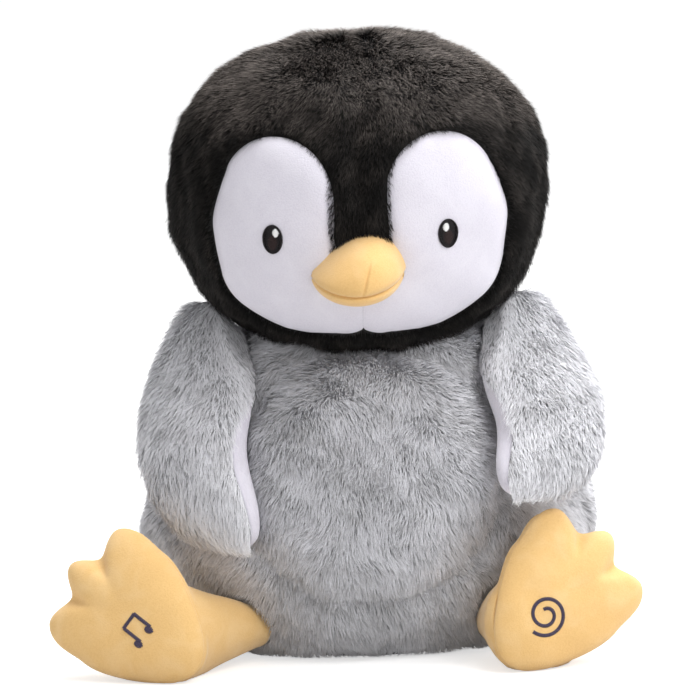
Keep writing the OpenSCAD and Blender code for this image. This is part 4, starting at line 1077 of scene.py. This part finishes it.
def remeshed(piece, voxel, rounds):
    """Joins a piece's overlapping shells into one skin of even quads and smooths it."""
    bpy.context.view_layer.objects.active = piece
    remesh = piece.modifiers.new("one_skin", "REMESH")
    remesh.mode = "VOXEL"
    remesh.voxel_size = voxel
    soften = piece.modifiers.new("soften", "SMOOTH")
    soften.factor = 0.5
    soften.iterations = rounds
    for modifier in ("one_skin", "soften"):
        with bpy.context.temp_override(object=piece, active_object=piece):
            bpy.ops.object.modifier_apply(modifier=modifier)
    mesh = piece.data
    mesh.polygons.foreach_set("use_smooth", [True] * len(mesh.polygons))
    return piece


def mesh_points(mesh):
    co = np.zeros(len(mesh.vertices) * 3, np.float32)
    mesh.vertices.foreach_get("co", co)
    return co.reshape(-1, 3).astype(float)


def set_points(mesh, points):
    mesh.vertices.foreach_set("co", np.asarray(points, np.float32).ravel())
    mesh.update()


def foot_pieces(side_name):
    side = SIDES[side_name]
    middle, axes = foot_frame(side_name)
    faces = ring_faces(FOOT_RINGS, FOOT_TURNS)
    front = foot_shell(True)
    front[:, 2] += SEAM / 2 + 0.3 * MM * ripple(front, 17 * MM, 41 + side)
    world = front @ axes + middle
    world[:, 2] = np.maximum(world[:, 2], FOOT_GAP)
    sole = new_piece(f"{side_name}_foot_sole", world, faces, FINISH["yellow_velour"])
    settle(sole, "penguin", "yellow_velour", f"{side_name}_sole", fill=0.9)
    back = foot_shell(False)
    back[:, 2] -= SEAM / 2
    back = back @ axes + middle
    start = np.array(ANKLE_FROM) @ axes + middle
    end = np.array([side * ANKLE_X, float(body_form.front(ANKLE_X, ANKLE_Z)) + 2 * MM, ANKLE_Z])
    tube, tube_faces = ankle_shell(start, end, ANKLE_R, ANKLE_IN)
    joined = faces + [tuple(len(back) + i for i in f) for f in tube_faces]
    instep = new_piece(f"{side_name}_foot_instep", np.concatenate([back, tube]), joined, FINISH["yellow_velour"])
    remeshed(instep, 1.6 * MM, 6)
    p = mesh_points(instep.data)
    local = (p - middle) @ axes.T
    p += np.clip(-SEAM / 2 - local[:, 2], None, 0)[:, None] * axes[2]
    p += 0.5 * MM * ripple(p, 16 * MM, 51 + side)[:, None] * np.array([0, 0, 1])
    p[:, 2] = np.maximum(p[:, 2], FOOT_GAP)
    set_points(instep.data, p)
    settle(instep, "penguin", "yellow_velour", f"{side_name}_instep", fill=0.9)
    return sole, instep


# Figures stitched on the soles

MOTIF_LINE = 1.8 * MM
MOTIF_STEP = 0.5 * MM


def spiral_line():
    a = np.linspace(0, math.radians(600), 400)
    r = (10.3 - 7.6 * a / a[-1]) * MM
    a = a + math.radians(-177)
    return np.array(SPIRAL_AT) + np.stack([r * np.cos(a), r * np.sin(a)], 1)


def note_lines():
    """Stems and beam of a pair of notes, and their oval heads."""
    x, y = 5.2 * MM, 4.3 * MM
    strokes = [((-x, -y), (x, -y)), ((x, -y), (x, y)), ((x, y), (-x, y))]
    lines = [(np.linspace(a, b, 30), MOTIF_LINE) for a, b in strokes]
    oval = 3.6 * MM * np.sqrt(1 - np.linspace(-0.97, 0.97, 30) ** 2)
    for side in (-1, 1):
        heart = np.array([-x, side * y - 1.6 * MM])
        lines.append((heart + np.linspace((-2.1 * MM, 0.5 * MM), (2.1 * MM, -0.5 * MM), 30), oval))
    return [(np.array(NOTE_AT) + line, width) for line, width in lines]


def sole_motif(side_name, lines):
    """Satin stitches across lines drawn in the foot's own frame, laid on its sole."""
    middle, axes = foot_frame(side_name)
    tree = tree_of(feet[side_name][0])
    starts, ends, lifts = [], [], []
    for line, width in lines:
        run = np.linalg.norm(np.diff(line, axis=0), axis=1)
        along = np.concatenate([[0], np.cumsum(run)])
        place = np.arange(0, along[-1], MOTIF_STEP)
        at = np.stack([np.interp(place, along, line[:, k]) for k in (0, 1)], 1)
        way = unit(np.gradient(at, axis=0))
        wide = np.interp(place, along, np.broadcast_to(width, len(line)))
        across = np.stack([-way[:, 1], way[:, 0]], 1) * wide[:, None] / 2
        for p, q in zip(at - across, at + across):
            found = []
            for x, y in (p, q):
                start = middle + x * axes[0] + y * axes[1] + 40 * MM * axes[2]
                hit, _, _, _ = tree.ray_cast(Vector(start), Vector(-axes[2]))
                found.append(np.array(hit))
            starts.append(found[0])
            ends.append(found[1])
            lifts.append(axes[2])
    piece = stitches(f"{side_name}_sole_figure", starts, ends, lifts, 0.55 * MM, 0.5 * MM, FINISH["purple_thread"])
    settle(piece, "penguin", "black_thread")


# Build the plain forms

for name in SIDES:
    face_piece(name)
    eye_piece(name)
glint_piece()
beak_pieces()
wings = {name: wing_pieces(name) for name in SIDES}
feet = {name: foot_pieces(name) for name in SIDES}
sole_motif("left", [(spiral_line(), MOTIF_LINE)])
sole_motif("right", note_lines())


# Coats of fur

def body_coat():
    rng = np.random.default_rng(101)
    roots, normals = scattered(rng, body_points, body_faces, body_normals, FUR_PER_MM2)
    shown = (head_form.level(roots) > 0.97) & (roots[:, 2] > 1.6 * MM)
    coat = Coat(102, roots[shown], normals[shown])
    p = coat.roots
    seam = belly_seam(p)
    down = np.tile([0.0, 0.0, -1.0], (len(p), 1))
    down[:, 0] += 0.35 * np.sign(p[:, 0]) * smooth_step(0, 60 * MM, np.abs(p[:, 0]))
    coat.pull *= 0.75
    coat.lay(down, 0.4 * ripple(p, 38 * MM, 5) + 0.24 * ripple(p, 12 * MM, 6) + rng.normal(size=len(p)) * 0.14)
    near = np.exp(-(seam / (5 * MM)) ** 2)
    coat.length = BODY_HAIR * (1 + 0.16 * ripple(p, 15 * MM, 7)) * rng.uniform(0.7, 1.15, len(p)) * (1 - 0.25 * near)
    coat.lean = np.radians(50 + 9 * ripple(p, 18 * MM, 8) + rng.normal(size=len(p)) * 7)
    coat.width = rng.uniform(0.22, 0.38, len(p)) * MM
    floor = smooth_step(2 * MM, 14 * MM, p[:, 2])
    coat.lean *= 0.35 + 0.65 * floor
    coat.length *= 0.5 + 0.5 * floor
    # Painted shade: hairs low on the body and along the belly seam's crease are mixed towards the dark hair, as shade
    # falls there; the ripples and the random part are the fur's own uneven tone.
    low = smooth_step(60 * MM, 15 * MM, p[:, 2])
    dark = 0.26 + 0.16 * ripple(p, 9 * MM, 9) + 0.16 * ripple(p, 30 * MM, 10) + 0.28 * near + 0.4 * low
    coat.shade = np.clip(dark + 0.14 * ripple(p, 6 * MM, 43) + rng.normal(size=len(p)) * 0.2, 0.01, 0.99)
    return coat


def clear_of_feet(coat):
    """Drops the hairs that would stand in a foot."""
    keep = np.ones(len(coat.roots), bool)
    tips = coat.tips()
    for sole, instep in feet.values():
        for piece in (sole, instep):
            p = mesh_points(piece.data)
            low, high = p.min(0) - 2 * MM, p.max(0) + 2 * MM
            tree = tree_of(piece)
            rooted, tipped = (((p > low) & (p < high)).all(1) for p in (coat.roots, tips))
            for i in np.nonzero(rooted | tipped)[0]:
                middle = (coat.roots[i] + tips[i]) / 2 + coat.normals[i] * coat.length[i] * 0.08
                if any(lies_inside(tree, q) for q in (coat.roots[i], middle, tips[i])):
                    keep[i] = False
    coat.keep(keep)


def swing(p):
    """Points of a wing at angles all through its swing."""
    return [turned(p, axle, -angle) for angle in np.linspace(0, wing_travel, 6)]


def wing_reach():
    """Tree of the places that the two wings pass through."""
    places = [q * [side, 1, 1] for name, side in SIDES.items() for q in swing(wing_rings(name)[0].reshape(-1, 3))]
    return near_tree(np.concatenate(places))


def head_coat():
    rng = np.random.default_rng(201)
    roots, normals = scattered(rng, head_points, head_faces, head_normals, FUR_PER_MM2)
    gap = face_gap(roots)
    shown = (gap > PATCH_GROW - 1 * MM) & (body_form.level(roots) > 0.985)
    coat = Coat(202, roots[shown], normals[shown])
    p = coat.roots
    gap = face_gap(p)
    middle = head_form.middle
    out = p - np.array([0, middle[1] - 10 * MM, head_z - 10 * MM])
    way = np.stack([0.6 * out[:, 0], 0.5 * out[:, 1], np.full(len(p), -55 * MM)], 1)
    coat.pull *= 0.6
    coat.lay(way, 0.3 * ripple(p, 45 * MM, 15) + 0.14 * ripple(p, 14 * MM, 16) + rng.normal(size=len(p)) * 0.15)
    coat.length = HEAD_HAIR * (1 + 0.14 * ripple(p, 15 * MM, 17)) * rng.uniform(0.7, 1.15, len(p))
    edge = smooth_step(7 * MM, 1 * MM, gap)
    coat.length *= 1 - 0.2 * edge
    coat.lean = np.radians(46 + 5 * ripple(p, 18 * MM, 18) + rng.normal(size=len(p)) * 7 + 24 * edge)
    reach, away = wing_reach(), np.ones(len(p))
    for i in np.nonzero(p[:, 2] < head_z + 10 * MM)[0]:
        away[i] = reach.find(p[i])[2]
    free = smooth_step(2.5 * MM, 6 * MM, away)
    coat.length *= 0.75 + 0.25 * free
    coat.lean *= 0.5 + 0.5 * free
    coat.width = rng.uniform(0.2, 0.34, len(p)) * MM
    # Painted highlight: hairs whose roots face upward get a low shade and so the light tips, as the sheen of the light
    # from above; the others keep the dark hair, with a little random tone.
    crown = smooth_step(0.15, 0.85, coat.normals[:, 2])
    dark = 0.94 - 0.8 * crown + 0.12 * ripple(p, 10 * MM, 19)
    coat.shade = np.clip(dark + rng.normal(size=len(p)) * 0.09, 0.01, 0.99)
    return coat


def wing_coat(side_name):
    side = SIDES[side_name]
    points, faces = wings[side_name]
    rng = np.random.default_rng(301 + side)
    shell = [f for f in faces if len(f) == 4 and not {f[0] % WING_SIDES, f[1] % WING_SIDES} == {0, WING_SIDES - 1}]
    normals = vertex_normals(points, shell)
    middle = points.reshape(WING_STEPS, WING_SIDES, 3).mean(1).repeat(WING_SIDES, 0)
    normals = normals * np.sign((normals * (points - middle)).sum(1, keepdims=True))
    roots, normals = scattered(rng, points, shell, normals, FUR_PER_MM2)
    coat = Coat(302 + side, roots, normals)
    p = coat.roots
    line = np.array(WING_LINE[side_name]) * MM
    way = np.tile((line[3] - line[1]) * [side, 1, 1], (len(p), 1))
    coat.pull *= 0.55
    coat.lay(way, 0.28 * ripple(p, 36 * MM, 25 + side) + rng.normal(size=len(p)) * 0.14)
    pressed = np.ones(len(p))
    for q in swing(p * [side, 1, 1]):
        pressed = np.minimum(pressed, smooth_step(1.0, 1.14, np.minimum(body_form.level(q), head_form.level(q))))
    coat.length = WING_HAIR * rng.uniform(0.7, 1.15, len(p)) * (0.45 + 0.55 * pressed)
    coat.lean = np.radians((36 + 5 * ripple(p, 16 * MM, 28) + rng.normal(size=len(p)) * 7) * (0.3 + 0.7 * pressed))
    coat.length *= 1 + 0.5 * smooth_step(154 * MM, 168 * MM, p[:, 2])
    coat.width = rng.uniform(0.22, 0.38, len(p)) * MM
    coat.shade = np.clip(0.12 + 0.24 * ripple(p, 9 * MM, 29) + rng.normal(size=len(p)) * 0.2, 0.01, 0.99)
    return coat


coat = body_coat()
clear_of_feet(coat)
grown(coat, "body_fur", FINISH["grey_pile"], "penguin", "grey_fur", 5)
grown(head_coat(), "head_fur", FINISH["black_pile"], "penguin", "black_fur", 3)
for name in SIDES:
    grown(wing_coat(name), f"{name}_wing_pile", FINISH["lit_wing_pile"], f"{name}_wing", "grey_fur")


# Soft pieces inside, copied from their solids and fluffed up

def fluffed(node, name, material, slot_name, voxel, lump, inset=0.0, fill=None):
    """Soft copy of a node's solid, with lumps and drawn in by inset."""
    source = frame["nodes"][node].data
    piece = placed(name, source.copy())
    piece.data.materials.clear()
    piece.data.materials.append(material)
    remeshed(piece, voxel, 4)
    p = mesh_points(piece.data)
    set_points(piece.data, p + (lump * ripple(p, 14 * MM, 61) - inset)[:, None] * unit(p - p.mean(0)))
    settle(piece, "penguin", slot_name, node, fill=fill)


for place, inset in (("body", 1.5 * MM), ("head", 2.5 * MM)):
    fluffed(f"{place}_stuffing", f"{place}_filling", FINISH["fibre"], "filling", 4 * MM, 0.5 * MM, inset, 0.7)
for kind in ("hook_tape", "loop_tape"):
    fluffed(kind, f"{kind}_strip", FINISH["tape_pile"], "tape", 0.6 * MM, 0.02 * MM)


def seat_piece():
    low, high = corners("seat_panel")
    radius, rings, turns = (high[0] - low[0]) / 2, 40, 96
    share = np.linspace(0.02, 1, rings)[:, None]
    t = round_steps(turns)[None, :]
    top = np.full((rings, turns), high[2] - 0.3 * MM)
    under = low[2] + 1.1 * MM * np.exp(-((1 - share) * radius / (3 * MM)) ** 2) + 0 * t
    x, y = radius * share * np.cos(t), radius * share * np.sin(t)
    lower, upper = (np.stack([x, y, z], -1) for z in (under, top))
    points = np.concatenate([lower, upper[::-1]]).reshape(-1, 3)
    piece = new_piece("seat_cloth_panel", points, ring_faces(2 * rings, turns), FINISH["seat_cloth"])
    settle(piece, "penguin", "seat_cloth", "seat_panel")


seat_piece()


# Hard pieces keep their solids and get their finishes

def dress_hard_nodes():
    slots = {part["node"]: part["material_slot"] for part in frame["record"]["subparts"]}
    for node, piece in frame["nodes"].items():
        if piece.hide_render:
            continue
        piece.data.materials.clear()
        piece.data.materials.append(FINISH[slots[node]])


dress_hard_nodes()


# Floor, light and camera: first what lights the toy, then what the camera sees

FLOOR_GLOW = (0.05, 0.62)
WORLD_LIGHT = (0.62, 1.0)
FLOOR_HALF = 4.0


def studio():
    floor_mesh = bpy.data.meshes.new("floor")
    corner_signs = ((-1, -1), (1, -1), (1, 1), (-1, 1))
    floor_mesh.from_pydata([(FLOOR_HALF * x, FLOOR_HALF * y, 0) for x, y in corner_signs], [], [(0, 1, 2, 3)])
    floor = placed("floor", floor_mesh)
    paper = grain_material("floor_paper", (0.62, 0.62, 0.62), (0.66, 0.66, 0.66), 40.0, 0.7, 0.0,
                           Emission_Color=(1, 1, 1, 1))
    glow = add(paper.node_tree, "MapRange", [("Value", add(paper.node_tree, "LightPath").outputs["Is Camera Ray"])],
               To_Min=FLOOR_GLOW[0], To_Max=FLOOR_GLOW[1])
    paper.node_tree.links.new(glow.outputs[0], paper.node_tree.nodes["Principled BSDF"].inputs["Emission Strength"])
    floor_mesh.materials.append(paper)
    world = bpy.data.worlds.new("studio")
    bpy.context.scene.world = world
    world.use_nodes = True
    tree = world.node_tree
    seen = add(tree, "LightPath")
    level = add(tree, "MapRange", [("Value", seen.outputs["Is Camera Ray"])],
                To_Min=WORLD_LIGHT[0], To_Max=WORLD_LIGHT[1])
    tree.links.new(level.outputs[0], tree.nodes["Background"].inputs["Strength"])
    tree.nodes["Background"].inputs["Color"].default_value = (1, 1, 1, 1)
    aim = Vector((0, -0.02, 0.15))
    for name, place, size, power in (
        ("key_light", (0.95, -0.9, 1.2), 0.9, 15),
        ("fill_light", (-1.2, -0.9, 0.7), 1.1, 1),
        ("top_light", (0.2, 0.2, 1.3), 0.8, 20),
        ("rim_light", (1.1, 0.5, 0.6), 0.5, 3.5),
    ):
        data = bpy.data.lights.new(name, "AREA")
        data.size = size
        data.energy = power
        lamp = placed(name, data)
        lamp.location = place
        lamp.rotation_euler = (aim - Vector(place)).to_track_quat("-Z", "Y").to_euler()


CAMERA_AIM = Vector((-6.8 * MM, -20 * MM, 145.3 * MM))
CAMERA_AWAY = 3.0
CAMERA_RISE = math.radians(8)
CAMERA_ROLL = math.radians(-2)
FRAME_WIDTH = 341 * MM


def place_camera():
    data = bpy.data.cameras.new("camera")
    data.sensor_width = 36
    data.lens = data.sensor_width * CAMERA_AWAY / FRAME_WIDTH
    camera = placed("camera", data)
    back = Vector((0, -math.cos(CAMERA_RISE), math.sin(CAMERA_RISE)))
    camera.location = CAMERA_AIM + back * CAMERA_AWAY
    turn = (-back).to_track_quat("-Z", "Y").to_matrix().to_4x4()
    camera.matrix_world = Matrix.Translation(camera.location) @ turn @ Matrix.Rotation(CAMERA_ROLL, 4, "Z")
    bpy.context.scene.camera = camera


studio()
place_camera()
bpy.context.scene.view_settings.view_transform = "Standard"
